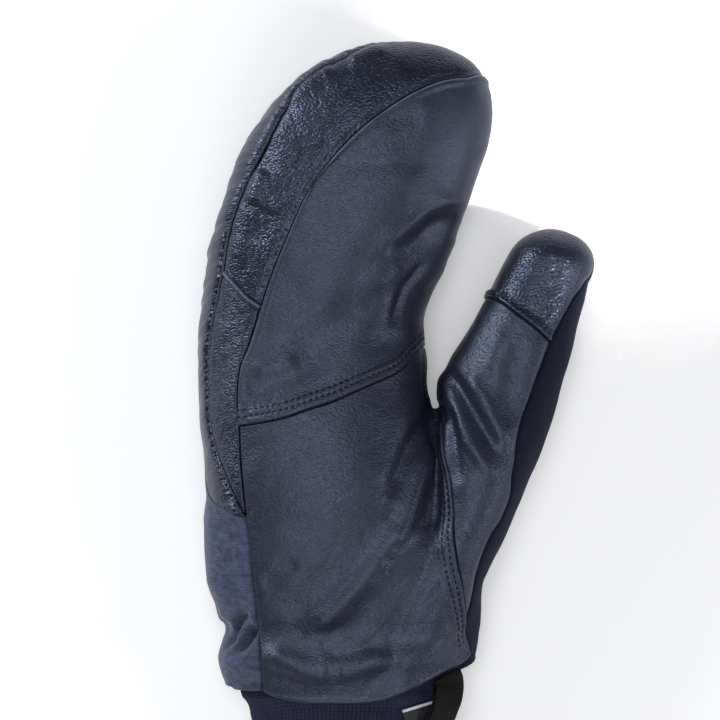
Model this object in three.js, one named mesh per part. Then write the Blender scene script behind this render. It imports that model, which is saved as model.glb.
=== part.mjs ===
// A leather mitten for the right hand, lying on its back with the palm up. Millimetres.
// +Y runs from the wrist to the fingertips, +X to the thumb, +Z up from the resting face.
import * as THREE from 'three';
import { mergeVertices } from 'three/addons/utils/BufferGeometryUtils.js';

// Driving dimensions
const bodyLength = 250; // wrist seam to fingertip
const palmWidth = 92;
const palmDepth = 58;
const thumbLength = 80.5; // thumb root section to thumb tip
const thumbWidth = 44;
const thumbLean = 22.5; // degrees from the fingers' direction
const crotchBlend = 8; // fillet between fingers and thumb
const floorBlend = 8; // rounding where the back is flattened
const shellWall = 3; // leather or softshell with its lining
const seamGap = 0.42;
const stripGap = 0.7; // the strip's long facets cut its curve, so it stands further off
const foldHeight = 2.2;
const foldWidth = 8;
const gatherHeight = 1.2;
const gatherCount = 26; // pleats round the whole wrist
const cuffLength = 48; // below the wrist seam
const cuffTuck = 12; // inside the shell
const cuffWall = 3;
const cuffClearance = 1.5; // between the shell's lining and the cuff tucked into it
const ribHeight = 0.6;
const ribCount = 26;
const loopWidth = 12;
const loopLength = 34;
const loopThickness = 1.1;
const loopOpening = 0.8;
const loopTilt = 35; // degrees, down to the thumb side
const labelWidth = 13;
const labelLength = 12;
const labelThickness = 0.8;
const labelTurn = 16; // degrees in plan
const restPlace = 0.4 * bodyLength; // the origin is on the resting face, under the palm

// Body sections: share of bodyLength, then little-finger side and index side as shares of
// palmWidth, then palm height and back height as shares of palmDepth
const bodySections = [
  [-0.060, 0.395, 0.575, 0.800, 0.010],
  [-0.023, 0.400, 0.575, 0.800, 0.000],
  [-0.011, 0.412, 0.567, 0.800, -0.017],
  [0.005, 0.442, 0.563, 0.819, -0.034],
  [0.023, 0.462, 0.586, 0.836, -0.052],
  [0.046, 0.473, 0.612, 0.862, -0.069],
  [0.088, 0.454, 0.628, 0.845, -0.069],
  [0.116, 0.483, 0.625, 0.879, -0.086],
  [0.154, 0.506, 0.610, 0.914, -0.103],
  [0.200, 0.519, 0.560, 0.948, -0.112],
  [0.262, 0.525, 0.510, 0.983, -0.112],
  [0.323, 0.529, 0.481, 1.000, -0.112],
  [0.370, 0.531, 0.462, 0.991, -0.112],
  [0.416, 0.550, 0.444, 0.974, -0.112],
  [0.462, 0.561, 0.405, 0.948, -0.112],
  [0.508, 0.563, 0.404, 0.931, -0.103],
  [0.547, 0.557, 0.395, 0.922, -0.086],
  [0.601, 0.540, 0.448, 0.931, -0.060],
  [0.647, 0.523, 0.502, 0.948, -0.026],
  [0.693, 0.498, 0.536, 0.966, 0.009],
  [0.739, 0.465, 0.573, 0.983, 0.043],
  [0.785, 0.427, 0.611, 0.983, 0.078],
  [0.808, 0.406, 0.632, 0.974, 0.103],
];
const bodySquareness = 2.25;
const tipSquareness = 2.15;
const tipShift = 0.213 * palmWidth; // the round tip leans to the index side
const tipRise = 0.05 * palmDepth;

// Thumb sections: share of thumbLength, then inner side, outer side, middle height and
// half depth as shares of thumbWidth
const thumbSections = [
  [-0.699, 0.131, 0.525, 0.614, 0.477],
  [-0.483, 0.192, 0.569, 0.625, 0.523],
  [-0.311, 0.254, 0.577, 0.636, 0.534],
  [-0.148, 0.332, 0.577, 0.641, 0.523],
  [0.000, 0.437, 0.577, 0.648, 0.500],
  [0.120, 0.512, 0.564, 0.652, 0.477],
  [0.225, 0.481, 0.542, 0.659, 0.455],
  [0.373, 0.446, 0.507, 0.670, 0.432],
  [0.522, 0.411, 0.472, 0.677, 0.416],
  [0.665, 0.376, 0.429, 0.682, 0.398],
  [0.813, 0.332, 0.385, 0.682, 0.386],
];
const thumbSquareness = 2.1;
const thumbRoot = [0.646 * palmWidth, 0.412 * bodyLength];

// Cuff sections: share of cuffLength from the wrist seam, then sides and heights as the body's
const cuffSections = [
  [-1.000, 0.285, 0.485, 0.724, 0.017],
  [-0.560, 0.310, 0.498, 0.741, 0.017],
  [-0.250, 0.343, 0.523, 0.759, 0.017],
  [-0.140, 0.358, 0.540, 0.770, 0.017],
  [0.000, 0.420, 0.580, 0.850, 0.010],
  [0.300, 0.520, 0.660, 0.950, -0.050],
];

// Pull loop from the palm hem: shares of palmWidth across, of loopLength down and of
// loopThickness above the cuff
const loopRoute = [
  [0.000, 0.000, 2.4],
  [0.012, -0.130, 2.1],
  [0.000, -0.310, 2.2],
  [-0.032, -0.550, 2.4],
  [-0.070, -0.760, 2.4],
  [-0.095, -0.940, 2.4],
];
const loopHemRow = 7; // row of the palm hem where the loop comes out
const labelCorner = [0.301, -0.158]; // top left: shares of palmWidth and cuffLength

// Folds on the palm side: two ends as shares of palmWidth and bodyLength, then width as a
// share of foldWidth and height as a share of foldHeight, below zero for a valley
const folds = [
  [0.230, 0.881, 0.335, 0.870, 0.8, -0.35],
  [0.536, 0.755, 0.260, 0.681, 1.7, -0.75],
  [0.293, 0.659, 0.105, 0.600, 1.0, 0.45],
  [0.188, 0.638, -0.193, 0.508, 1.2, -0.65],
  [0.008, 0.519, -0.326, 0.462, 0.9, -0.55],
  [-0.318, 0.485, -0.121, 0.505, 0.6, 0.45],
  [0.523, 0.698, 0.368, 0.548, 1.3, -0.50],
  [0.398, 0.339, 0.218, 0.216, 1.0, 0.80],
  [0.218, 0.216, -0.109, 0.091, 1.0, 1.00],
  [0.290, 0.330, 0.110, 0.205, 1.0, -0.55],
  [0.110, 0.205, -0.200, 0.095, 1.0, -0.55],
  [-0.239, 0.059, -0.084, 0.031, 0.6, 0.55],
  [0.008, 0.039, 0.188, 0.065, 0.6, 0.55],
  [0.260, 0.039, 0.544, 0.099, 0.8, 0.55],
  [0.490, 0.394, 0.490, 0.342, 0.45, 0.65],
  [0.527, 0.445, 0.607, 0.385, 0.50, 0.80],
  [0.607, 0.385, 0.699, 0.336, 0.50, 0.80],
  [0.519, 0.470, 0.613, 0.411, 0.50, -1.00],
  [0.613, 0.411, 0.695, 0.368, 0.50, -1.00],
  [0.582, 0.470, 0.661, 0.413, 0.50, 0.65],
  [-0.272, 0.731, -0.377, 0.693, 0.8, -0.45],
];
const foldFade = [0.45, 0.65]; // shares of palmDepth between which the folds come in

// The gathered wrist: shares of bodyLength for its place and spread, of palmWidth for where it
// comes in towards the little-finger side, and of palmDepth for the middle of its pleats
const gatherPlace = 0.088;
const gatherSpread = 0.035;
const gatherFade = [0.26, 0.36];
const gatherMiddle = 0.4;

// Seams on the body: shares of palmWidth, bodyLength and palmDepth
const palmEdgeRows = [
  [-0.285, -0.005, 0.75],
  [-0.291, 0.062, 0.78],
  [-0.310, 0.139, 0.80],
  [-0.335, 0.231, 0.80],
  [-0.352, 0.268, 0.80],
  [-0.364, 0.308, 0.80],
  [-0.375, 0.360, 0.80],
  [-0.380, 0.407, 0.80],
  [-0.387, 0.439, 0.80],
  [-0.375, 0.496, 0.80],
  [-0.339, 0.531, 0.80],
  [-0.289, 0.591, 0.80],
  [-0.255, 0.628, 0.80],
  [-0.176, 0.698, 0.85],
  [-0.067, 0.779, 0.85],
  [0.096, 0.850, 0.85],
  [0.280, 0.903, 0.85],
  [0.460, 0.936, 0.80],
  [0.569, 0.943, 0.72],
  [0.661, 0.942, 0.50],
];
const palmCrossRows = [
  [-0.264, 0.414, 0.90],
  [-0.176, 0.422, 0.90],
  [-0.084, 0.434, 0.90],
  [0.008, 0.445, 0.90],
  [0.096, 0.459, 0.90],
  [0.188, 0.474, 0.90],
  [0.280, 0.490, 0.90],
  [0.350, 0.512, 0.85],
  [0.385, 0.524, 0.70],
  [0.402, 0.529, 0.55],
];
const indexSeamRows = [
  [0.435, 0.445, 0.50],
  [0.418, 0.465, 0.45],
  [0.405, 0.508, 0.42],
  [0.407, 0.530, 0.41],
  [0.410, 0.554, 0.40],
  [0.477, 0.624, 0.40],
  [0.552, 0.716, 0.40],
  [0.632, 0.808, 0.42],
  [0.680, 0.899, 0.46],
];
const stripInnerRows = [
  [-0.366, 0.279, 0.78],
  [-0.414, 0.314, 0.75],
  [-0.471, 0.370, 0.72],
  [-0.504, 0.417, 0.70],
  [-0.511, 0.453, 0.70],
  [-0.513, 0.508, 0.70],
  [-0.492, 0.570, 0.72],
  [-0.462, 0.622, 0.75],
  [-0.447, 0.647, 0.75],
  [-0.439, 0.670, 0.75],
  [-0.414, 0.715, 0.75],
  [-0.364, 0.765, 0.75],
  [-0.283, 0.825, 0.75],
  [-0.174, 0.898, 0.75],
  [-0.126, 0.922, 0.75],
  [-0.019, 0.953, 0.75],
  [0.088, 0.973, 0.72],
  [0.172, 0.986, 0.68],
  [0.293, 1.000, 0.54],
  [0.418, 0.996, 0.44],
  [0.530, 0.972, 0.34],
  [0.585, 0.945, 0.30],
];
const stripOuterRows = [
  [-0.414, 0.272, 0.70],
  [-0.439, 0.282, 0.66],
  [-0.462, 0.296, 0.60],
  [-0.498, 0.330, 0.50],
  [-0.517, 0.348, 0.40],
  [-0.540, 0.400, 0.26],
  [-0.540, 0.462, 0.20],
  [-0.540, 0.539, 0.18],
  [-0.520, 0.600, 0.19],
  [-0.480, 0.670, 0.21],
  [-0.420, 0.762, 0.24],
  [-0.320, 0.855, 0.26],
  [-0.150, 0.924, 0.27],
  [0.000, 0.955, 0.30],
  [0.170, 0.970, 0.32],
  [0.330, 0.965, 0.30],
  [0.440, 0.945, 0.25],
  [0.500, 0.925, 0.20],
];
const sideTopRows = [
  [-0.414, 0.633, 0.80],
  [-0.377, 0.618, 0.80],
  [-0.341, 0.604, 0.80],
];
const thumbSeamRows = [
  [0.557, 0.105, 0.66],
  [0.540, 0.154, 0.80],
  [0.523, 0.223, 0.85],
  [0.511, 0.293, 0.85],
  [0.494, 0.346, 0.80],
  [0.469, 0.400, 0.75],
  [0.454, 0.428, 0.62],
];
const wristSeamRows = [
  [0.557, 0.094, 0.66],
  [0.563, 0.082, 0.66],
  [0.578, 0.067, 0.64],
];
const backDividerRows = [
  [0.470, 0.030, 0.14],
  [0.520, 0.090, 0.14],
  [0.540, 0.160, 0.13],
  [0.520, 0.240, 0.13],
  [0.470, 0.320, 0.16],
  [0.430, 0.380, 0.22],
  [0.425, 0.420, 0.34],
];
const palmHemRows = [
  [-0.285, -0.005, 0.75],
  [-0.230, -0.014, 0.80],
  [-0.117, -0.021, 0.80],
  [0.013, -0.022, 0.80],
  [0.142, -0.021, 0.80],
  [0.239, -0.014, 0.80],
  [0.377, 0.006, 0.80],
  [0.481, 0.026, 0.75],
  [0.557, 0.040, 0.66],
  [0.588, 0.050, 0.58],
];
const thumbHemRows = [
  [0.600, 0.040, 0.45],
  [0.580, 0.025, 0.28],
  [0.460, 0.010, 0.10],
];
const backHemRows = [
  [0.250, 0.008, 0.00],
  [0.000, 0.008, 0.00],
  [-0.250, 0.008, 0.00],
  [-0.370, 0.008, 0.08],
  [-0.435, 0.008, 0.28],
  [-0.440, 0.005, 0.50],
  [-0.372, -0.002, 0.68],
];
// Lines that guide the back panel round the hand, from the wrist to the tip
const backGuideRows = [
  [[0.420, 0.160, 0.01], [0.360, 0.360, 0.01], [0.320, 0.520, 0.02], [0.420, 0.700, 0.06],
    [0.450, 0.830, 0.14]],
  [[0.020, 0.160, 0.00], [0.000, 0.360, 0.00], [0.000, 0.540, 0.00], [0.080, 0.700, 0.01],
    [0.200, 0.860, 0.14]],
  [[-0.390, 0.130, 0.02], [-0.420, 0.300, 0.01], [-0.420, 0.460, 0.02], [-0.380, 0.600, 0.06],
    [-0.240, 0.800, 0.16]],
];

// Seams on the thumb: shares of thumbWidth across, thumbLength along and thumbWidth up
const thumbOuterRows = [
  [0.445, -0.855, 0.86],
  [0.414, -0.763, 0.90],
  [0.407, -0.636, 0.95],
  [0.416, -0.504, 0.95],
  [0.432, -0.381, 0.93],
  [0.425, -0.254, 0.93],
  [0.390, -0.132, 0.96],
  [0.339, -0.040, 0.98],
  [0.301, 0.060, 1.00],
  [0.282, 0.185, 1.00],
  [0.268, 0.316, 1.00],
  [0.261, 0.475, 0.98],
  [0.279, 0.552, 0.96],
  [0.307, 0.703, 0.90],
  [0.311, 0.797, 0.85],
  [0.271, 0.938, 0.70],
];
const innerThumbRows = [
  [-0.515, 0.113, 0.64],
  [-0.496, 0.200, 0.64],
  [-0.445, 0.357, 0.64],
  [-0.400, 0.548, 0.64],
  [-0.361, 0.671, 0.62],
  [-0.296, 0.836, 0.62],
  [-0.212, 0.912, 0.60],
  [-0.123, 0.958, 0.58],
];
const thumbTopRows = [
  [-0.009, 0.994, 0.62],
  [0.131, 0.984, 0.64],
  [0.223, 0.964, 0.68],
];
// Lines that guide the thumb's back panel round its outer side, from the wrist to the tip
const thumbGuideRows = [
  [[0.600, -0.850, 0.60], [0.530, -0.600, 0.60], [0.560, -0.300, 0.62], [0.577, 0.000, 0.65],
    [0.520, 0.300, 0.66], [0.450, 0.600, 0.67], [0.370, 0.850, 0.66]],
  [[0.450, -0.850, 0.17], [0.380, -0.600, 0.13], [0.300, -0.300, 0.13], [0.200, 0.000, 0.15],
    [0.100, 0.300, 0.20], [0.050, 0.600, 0.26], [0.040, 0.850, 0.36]],
];
const capHemRows = [
  [-0.378, 0.569, 0.80],
  [-0.309, 0.566, 0.92],
  [-0.218, 0.558, 1.02],
  [-0.125, 0.543, 1.05],
  [-0.029, 0.529, 1.05],
  [0.065, 0.516, 1.05],
  [0.158, 0.499, 1.02],
];

// Places of junctions, as rows in the tables above
const stripEndRow = 4;
const crossRow = 7;
const palmCornerRow = 14;
const sideTopRow = 11;
const crossEndRow = 3;
const sideTopStripRow = 9;
const stripBendRow = 5;
const stripCornerRow = 12;
const thumbCapRow = 11;
const innerCapRow = 4;

const lean = THREE.MathUtils.degToRad(thumbLean);
const bodyPoint = ([x, y, z]) => new THREE.Vector3(x * palmWidth, y * bodyLength, z * palmDepth);

function thumbPoint([across, along, up]) {
  const w = across * thumbWidth;
  const s = along * thumbLength;
  const x = thumbRoot[0] + w * Math.cos(lean) + s * Math.sin(lean);
  const y = thumbRoot[1] - w * Math.sin(lean) + s * Math.cos(lean);
  return new THREE.Vector3(x, y, up * thumbWidth);
}

// Form of the mitten
function rowAt(table, where) {
  const last = table.length - 1;
  const place = THREE.MathUtils.clamp(where, table[0][0], table[last][0]);
  let k = 0;
  while (k < last - 1 && table[k + 1][0] < place) k += 1;
  const slope = (i, column) => {
    const a = Math.max(i - 1, 0);
    const b = Math.min(i + 1, last);
    return (table[b][column] - table[a][column]) / (table[b][0] - table[a][0]);
  };
  const step = table[k + 1][0] - table[k][0];
  const t = (place - table[k][0]) / step;
  const rise = 3 * t * t - 2 * t * t * t;
  return table[k].slice(1).map((value, i) => value * (1 - rise) + table[k + 1][i + 1] * rise
    + (t * t * t - 2 * t * t + t) * step * slope(k, i + 1)
    + (t * t * t - t * t) * step * slope(k + 1, i + 1));
}

function superDistance(dx, dz, ahead, half, squareness, capSquareness) {
  const section = (Math.abs(dx / half[0]) ** squareness
    + Math.abs(dz / half[1]) ** squareness) ** (1 / squareness);
  const past = Math.max(ahead, 0);
  const ratio = (section ** capSquareness + (past / half[2]) ** capSquareness)
    ** (1 / capSquareness);
  return Math.hypot(dx, dz, past) * (1 - 1 / (ratio + 1e-9));
}

function bodyForm({ x, y, z }) {
  const start = bodySections[bodySections.length - 1][0];
  const [little, index, palm, back] = rowAt(bodySections, y / bodyLength);
  const t = THREE.MathUtils.clamp((y / bodyLength - start) / (1 - start), 0, 1.3);
  const dx = x - (index - little) * palmWidth / 2 - tipShift * t;
  const dz = z - (palm + back) * palmDepth / 2 - tipRise * t;
  const half = [(index + little) * palmWidth / 2, (palm - back) * palmDepth / 2,
    (1 - start) * bodyLength];
  return superDistance(dx, dz, y - start * bodyLength, half, bodySquareness, tipSquareness);
}

function thumbForm({ x, y, z }) {
  const start = thumbSections[thumbSections.length - 1][0];
  const px = x - thumbRoot[0];
  const py = y - thumbRoot[1];
  const along = px * Math.sin(lean) + py * Math.cos(lean);
  const across = px * Math.cos(lean) - py * Math.sin(lean);
  const [inner, outer, middle, depth] = rowAt(thumbSections, along / thumbLength);
  const dx = across - (outer - inner) * thumbWidth / 2;
  const half = [(outer + inner) * thumbWidth / 2, depth * thumbWidth,
    (1 - start) * thumbLength];
  return superDistance(dx, z - middle * thumbWidth, along - start * thumbLength, half,
    thumbSquareness, thumbSquareness);
}

function smoothMin(a, b, blend) {
  const near = Math.max(blend - Math.abs(a - b), 0) / blend;
  return Math.min(a, b) - near * near * blend / 4;
}

function foldRelief({ x, y, z }) {
  const palmSide = THREE.MathUtils.smoothstep(z, foldFade[0] * palmDepth, foldFade[1] * palmDepth);
  if (palmSide === 0) return 0;
  let relief = 0;
  for (const [x0, y0, x1, y1, width, height] of folds) {
    const ax = x0 * palmWidth;
    const ay = y0 * bodyLength;
    const bx = x1 * palmWidth - ax;
    const by = y1 * bodyLength - ay;
    const along = THREE.MathUtils.clamp(
      ((x - ax) * bx + (y - ay) * by) / (bx * bx + by * by), 0, 1);
    const away = Math.hypot(x - ax - bx * along, y - ay - by * along) / (width * foldWidth);
    relief += height * foldHeight * Math.exp(-away * away);
  }
  return relief * palmSide;
}

function gatherRelief({ x, y, z }) {
  const wrist = (y - gatherPlace * bodyLength) / (gatherSpread * bodyLength);
  const beside = THREE.MathUtils.smoothstep(-x, gatherFade[0] * palmWidth, gatherFade[1] * palmWidth);
  const turn = Math.atan2(z - gatherMiddle * palmDepth, x);
  return gatherHeight * Math.cos(gatherCount * turn) * Math.exp(-wrist * wrist) * beside;
}

function handForm(p, relief = 0) {
  const hand = smoothMin(bodyForm(p), thumbForm(p), crotchBlend);
  return -smoothMin(relief - hand, p.z, floorBlend);
}

const smoothForm = (p) => handForm(p);
const mittenForm = (p) => handForm(p, foldRelief(p) + gatherRelief(p));

function cuffForm(p) {
  const [little, index, palm, back] = rowAt(cuffSections, p.y / cuffLength);
  const dx = p.x - (index - little) * palmWidth / 2;
  const dz = p.z - (palm + back) * palmDepth / 2;
  const half = [(index + little) * palmWidth / 2, (palm - back) * palmDepth / 2, 1];
  const tube = superDistance(dx, dz, 0, half, bodySquareness, tipSquareness);
  return Math.max(tube, mittenForm(p) + shellWall + cuffClearance);
}

const slopeStep = 0.05;
const settleRounds = 14;
const settleStride = 8; // mm in one round at most
const uprightFrom = [0.3, 0.6]; // how far the form faces up or down before plan places hold

function gradient(form, p) {
  const slope = (axis) => {
    const ahead = p.clone();
    const behind = p.clone();
    ahead[axis] += slopeStep;
    behind[axis] -= slopeStep;
    return (form(ahead) - form(behind)) / (2 * slopeStep);
  };
  return new THREE.Vector3(slope('x'), slope('y'), slope('z'));
}

// Moves a point onto the form. Where the form faces up or down, a seam keeps its place in plan.
function settle(form, start, keepPlan, level = 0) {
  const p = start.clone();
  for (let round = 0; round < settleRounds; round += 1) {
    const slope = gradient(form, p);
    const away = THREE.MathUtils.clamp(form(p) - level, -settleStride, settleStride);
    const facing = keepPlan ? Math.abs(slope.z) / slope.length() : 0;
    const upright = THREE.MathUtils.smoothstep(facing, ...uprightFrom);
    const way = slope.clone();
    way.x *= 1 - upright;
    way.y *= 1 - upright;
    p.addScaledVector(way, -away / way.dot(slope));
  }
  return p;
}

// A seam is a smooth curve through its rows. A stretch of it has evenly spaced points.
function stretch(points, from, to, steps) {
  const curve = new THREE.CatmullRomCurve3(points);
  const fine = 12 * (to - from);
  const place = (i) => curve.getPoint((from + (to - from) * i / fine) / (points.length - 1));
  const trail = Array.from({ length: fine + 1 }, (unused, i) => settle(mittenForm, place(i), true));
  const reach = [0];
  for (let i = 1; i <= fine; i += 1) reach.push(reach[i - 1] + trail[i].distanceTo(trail[i - 1]));
  return Array.from({ length: steps + 1 }, (unused, i) => {
    const goal = reach[fine] * i / steps;
    let k = 1;
    while (k < fine && reach[k] < goal) k += 1;
    const share = (goal - reach[k - 1]) / (reach[k] - reach[k - 1]);
    const p = trail[k - 1].clone().lerp(trail[k], share);
    return settle(mittenForm, p, false);
  });
}

const whole = (points, steps) => stretch(points, 0, points.length - 1, steps);
const reversed = (points) => [...points].reverse();
const between = ([left, right], count) => Array.from({ length: count + 1 },
  (unused, i) => left[0].clone().lerp(right[0], i / count));
const join = (...runs) => runs.reduce((all, run) => [...all, ...run.slice(1)]);

// A grid of points on the form between two sides and two ends, seen from outside with
// the first column at its left and the first row at its foot
function panelGrid(columns, foot, head) {
  const rows = columns[0].length - 1;
  const across = foot.length - 1;
  const lofts = columns[0].map((unused, j) => {
    const rib = new THREE.CatmullRomCurve3(columns.map((column) => column[j]));
    return Array.from({ length: across + 1 }, (skip, i) => rib.getPoint(i / across));
  });
  return lofts.map((rib, j) => rib.map((point, i) => {
    if (i === 0) return columns[0][j].clone();
    if (i === across) return columns[columns.length - 1][j].clone();
    if (j === 0) return foot[i].clone();
    if (j === rows) return head[i].clone();
    const p = point.clone();
    p.addScaledVector(foot[i].clone().sub(lofts[0][i]), 1 - j / rows);
    p.addScaledVector(head[i].clone().sub(lofts[rows][i]), j / rows);
    return settle(mittenForm, p, false);
  }));
}

// Draws a grid's border in, square to the border
function drawInEdges(grid, inset) {
  const rows = grid.length - 1;
  const across = grid[0].length - 1;
  const moved = grid.map((row) => row.map((p) => p.clone()));
  const pull = (j, i, inner, before, after) => {
    const border = after.clone().sub(before).normalize();
    const way = inner.clone().sub(grid[j][i]);
    way.addScaledVector(border, -way.dot(border)).normalize();
    moved[j][i].addScaledVector(way, inset);
  };
  for (let j = 0; j <= rows; j += 1) {
    const below = Math.max(j - 1, 0);
    const above = Math.min(j + 1, rows);
    pull(j, 0, grid[j][1], grid[below][0], grid[above][0]);
    pull(j, across, grid[j][across - 1], grid[below][across], grid[above][across]);
  }
  for (let i = 0; i <= across; i += 1) {
    const left = Math.max(i - 1, 0);
    const right = Math.min(i + 1, across);
    pull(0, i, grid[1][i], grid[0][left], grid[0][right]);
    pull(rows, i, grid[rows - 1][i], grid[rows][left], grid[rows][right]);
  }
  return moved;
}

// Closes a box's faces over an outer and an inner grid
function gridWall(outer, inner) {
  const rows = outer.length - 1;
  const across = outer[0].length - 1;
  const box = new THREE.BoxGeometry(1, 1, 1, across, rows, 1);
  const place = box.attributes.position;
  for (let k = 0; k < place.count; k += 1) {
    const i = Math.round((place.getX(k) + 0.5) * across);
    const j = Math.round((place.getY(k) + 0.5) * rows);
    const p = place.getZ(k) > 0 ? outer[j][i] : inner[j][i];
    place.setXYZ(k, p.x, p.y, p.z);
  }
  foldRimInwards(box);
  return closed(box);
}

// Splits each four-sided face along the diagonal that keeps the wall clear of its neighbour
function foldRimInwards(box) {
  const corner = (k) => new THREE.Vector3().fromBufferAttribute(box.attributes.position, k);
  const { array } = box.index;
  for (let k = 0; k < array.length; k += 6) {
    const [a, b, d, , c] = array.slice(k, k + 5);
    const normal = corner(b).sub(corner(a)).cross(corner(d).sub(corner(a)));
    if (normal.dot(corner(c).sub(corner(a))) < 0) array.set([a, b, c, a, c, d], k);
  }
}

function closed(shape) {
  shape.deleteAttribute('normal');
  shape.deleteAttribute('uv');
  return mergeVertices(shape, 1e-4);
}

// Guide lines run from the foot to the head, through their own points
function panelWall([left, right], foot, head, { guides = [], gap = seamGap } = {}) {
  const middle = guides.map((points, k) => {
    const i = Math.round((foot.length - 1) * (k + 1) / (guides.length + 1));
    return whole([foot[i], ...points, head[i]], left.length - 1);
  });
  const columns = [left, ...middle, right];
  const outer = drawInEdges(panelGrid(columns, foot, head), gap / 2);
  const inner = outer.map((row) => row.map((p) => {
    const outward = gradient(smoothForm, p).normalize();
    return p.clone().addScaledVector(outward, -shellWall);
  }));
  return gridWall(outer, inner);
}

const mitten = new THREE.Group();

function add(name, geometry, color, roughness) {
  const material = new THREE.MeshStandardMaterial({ color, roughness, metalness: 0 });
  geometry.translate(0, -restPlace, 0);
  const mesh = new THREE.Mesh(geometry, material);
  mesh.name = name;
  mitten.add(mesh);
}

// Seams, with the junctions that they share
const palmEdge = palmEdgeRows.map(bodyPoint);
const crotch = bodyPoint(indexSeamRows[0]);
const indexSeam = [...indexSeamRows.map(bodyPoint), palmEdge[palmEdge.length - 1]];
const palmCross = [palmEdge[crossRow], ...palmCrossRows.map(bodyPoint), indexSeam[crossEndRow]];
const stripInner = [palmEdge[stripEndRow], ...stripInnerRows.map(bodyPoint)];
const stripOuter = stripOuterRows.map(bodyPoint);
const stripTipEnd = [palmEdge[palmEdge.length - 1], stripInner[stripInner.length - 1],
  stripOuter[stripOuter.length - 1]];
const stripWristEnd = [palmEdge[stripEndRow], stripOuter[0]];
const sideTop = [stripInner[sideTopStripRow], ...sideTopRows.map(bodyPoint), palmEdge[sideTopRow]];
const thumbSeam = [...thumbSeamRows.map(bodyPoint), crotch];
const palmHem = palmHemRows.map(bodyPoint);
const wristSeam = [palmHem[palmHem.length - 1], ...reversed(wristSeamRows.map(bodyPoint)),
  thumbSeam[0]];
const thumbHem = [palmHem[palmHem.length - 1], ...thumbHemRows.map(bodyPoint)];
const backDivider = [thumbHem[thumbHem.length - 1], ...backDividerRows.map(bodyPoint), crotch];
const backHem = [thumbHem[thumbHem.length - 1], ...backHemRows.map(bodyPoint), palmEdge[0]];
const thumbOuter = [thumbSeam[0], ...thumbOuterRows.map(thumbPoint)];
const innerThumb = [crotch, ...innerThumbRows.map(thumbPoint)];
const thumbTop = [innerThumb[innerThumb.length - 1], ...thumbTopRows.map(thumbPoint),
  thumbOuter[thumbOuter.length - 1]];
const capHem = [innerThumb[innerCapRow], ...capHemRows.map(thumbPoint),
  thumbOuter[thumbCapRow + 1]];

// Steps along the seams, the same for both panels that share one
const steps = {
  cross: 12,
  palmEdgeWrist: 9,
  palmEdgeWedge: 9,
  palmEdgeSide: 6,
  palmEdgeTip: 8,
  stripBend: 8,
  divider: 14,
  wrist: 2,
  thumbSeam: 12,
  indexPalm: 4,
  indexFingers: 14,
  innerThumb: 7,
  thumbCap: 8,
  capHem: 10,
  sideTop: 4,
  stripEnd: 2,
};
const wedgeRise = steps.palmEdgeWedge + steps.palmEdgeSide;
const tipRun = steps.palmEdgeTip + steps.cross;
const tipCorner = palmEdge.length - 1;
const palmEdgeWrist = stretch(palmEdge, 0, stripEndRow, steps.palmEdgeWrist);
const palmEdgeWedge = stretch(palmEdge, stripEndRow, crossRow, steps.palmEdgeWedge);
const palmEdgeSide = stretch(palmEdge, crossRow, sideTopRow, steps.palmEdgeSide);
const palmEdgeTip = stretch(palmEdge, sideTopRow, palmCornerRow, steps.palmEdgeTip);
const palmEdgeTop = stretch(palmEdge, palmCornerRow, tipCorner, steps.cross);
const crossLine = whole(palmCross, steps.cross);
const indexPalm = stretch(indexSeam, 0, crossEndRow, steps.indexPalm);
const indexFingers = stretch(indexSeam, crossEndRow, indexSeam.length - 1, steps.indexFingers);
const stripWedge = stretch(stripInner, 0, sideTopStripRow, wedgeRise);
const stripTip = stretch(stripInner, sideTopStripRow, stripInner.length - 1, tipRun);
const stripBend = stretch(stripOuter, 0, stripBendRow, steps.stripBend);
const wristLine = whole(wristSeam, steps.wrist);
const thumbSeamLine = whole(thumbSeam, steps.thumbSeam);
const dividerLine = whole(backDivider, steps.divider);
const innerThumbLine = stretch(innerThumb, 0, innerCapRow, steps.innerThumb);
const innerCapLine = stretch(innerThumb, innerCapRow, innerThumb.length - 1, steps.thumbCap);
const thumbRise = steps.thumbSeam + steps.innerThumb;
const outerThumbLine = stretch(thumbOuter, 0, thumbCapRow + 1, thumbRise);
const outerCapLine = stretch(thumbOuter, thumbCapRow + 1, thumbOuter.length - 1, steps.thumbCap);
const capHemLine = whole(capHem, steps.capHem);
const thumbTopLine = whole(thumbTop, steps.capHem);
const sideTopLine = whole(sideTop, steps.sideTop);
const tipEndLine = stretch(stripTipEnd, 0, 1, steps.sideTop);
const stripEndLine = stretch(stripTipEnd, 1, 2, steps.stripEnd);

// Palm
const palmLeather = 0x3d4050;
const lowerPalm = panelWall(
  [join(palmEdgeWrist, palmEdgeWedge), join(wristLine, thumbSeamLine, indexPalm)],
  whole(palmHem, steps.cross), crossLine);
add('palm_lower', lowerPalm, palmLeather, 0.45);

const upperPalm = panelWall([join(palmEdgeSide, palmEdgeTip), indexFingers],
  crossLine, palmEdgeTop);
add('palm_upper', upperPalm, palmLeather, 0.45);

// Little-finger side and tip
const fingertipPanel = panelWall([stripTip, join(palmEdgeTip, palmEdgeTop)],
  sideTopLine, reversed(tipEndLine));
add('fingertip_panel', fingertipPanel, 0x4a4e60, 0.5);

// The wedge's point is cut off a little way up its first step
const wedgeStart = 0.35;
const wedgeSides = [[...stripWedge], join(palmEdgeWedge, palmEdgeSide)];
wedgeSides[0][0] = stripWedge[0].clone().lerp(stripWedge[1], wedgeStart);
wedgeSides[1][0] = palmEdgeWedge[0].clone().lerp(palmEdgeWedge[1], wedgeStart);
const sidePanel = panelWall(wedgeSides, between(wedgeSides, steps.sideTop), sideTopLine);
add('side_panel', sidePanel, 0x2b2f3d, 0.5);

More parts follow.
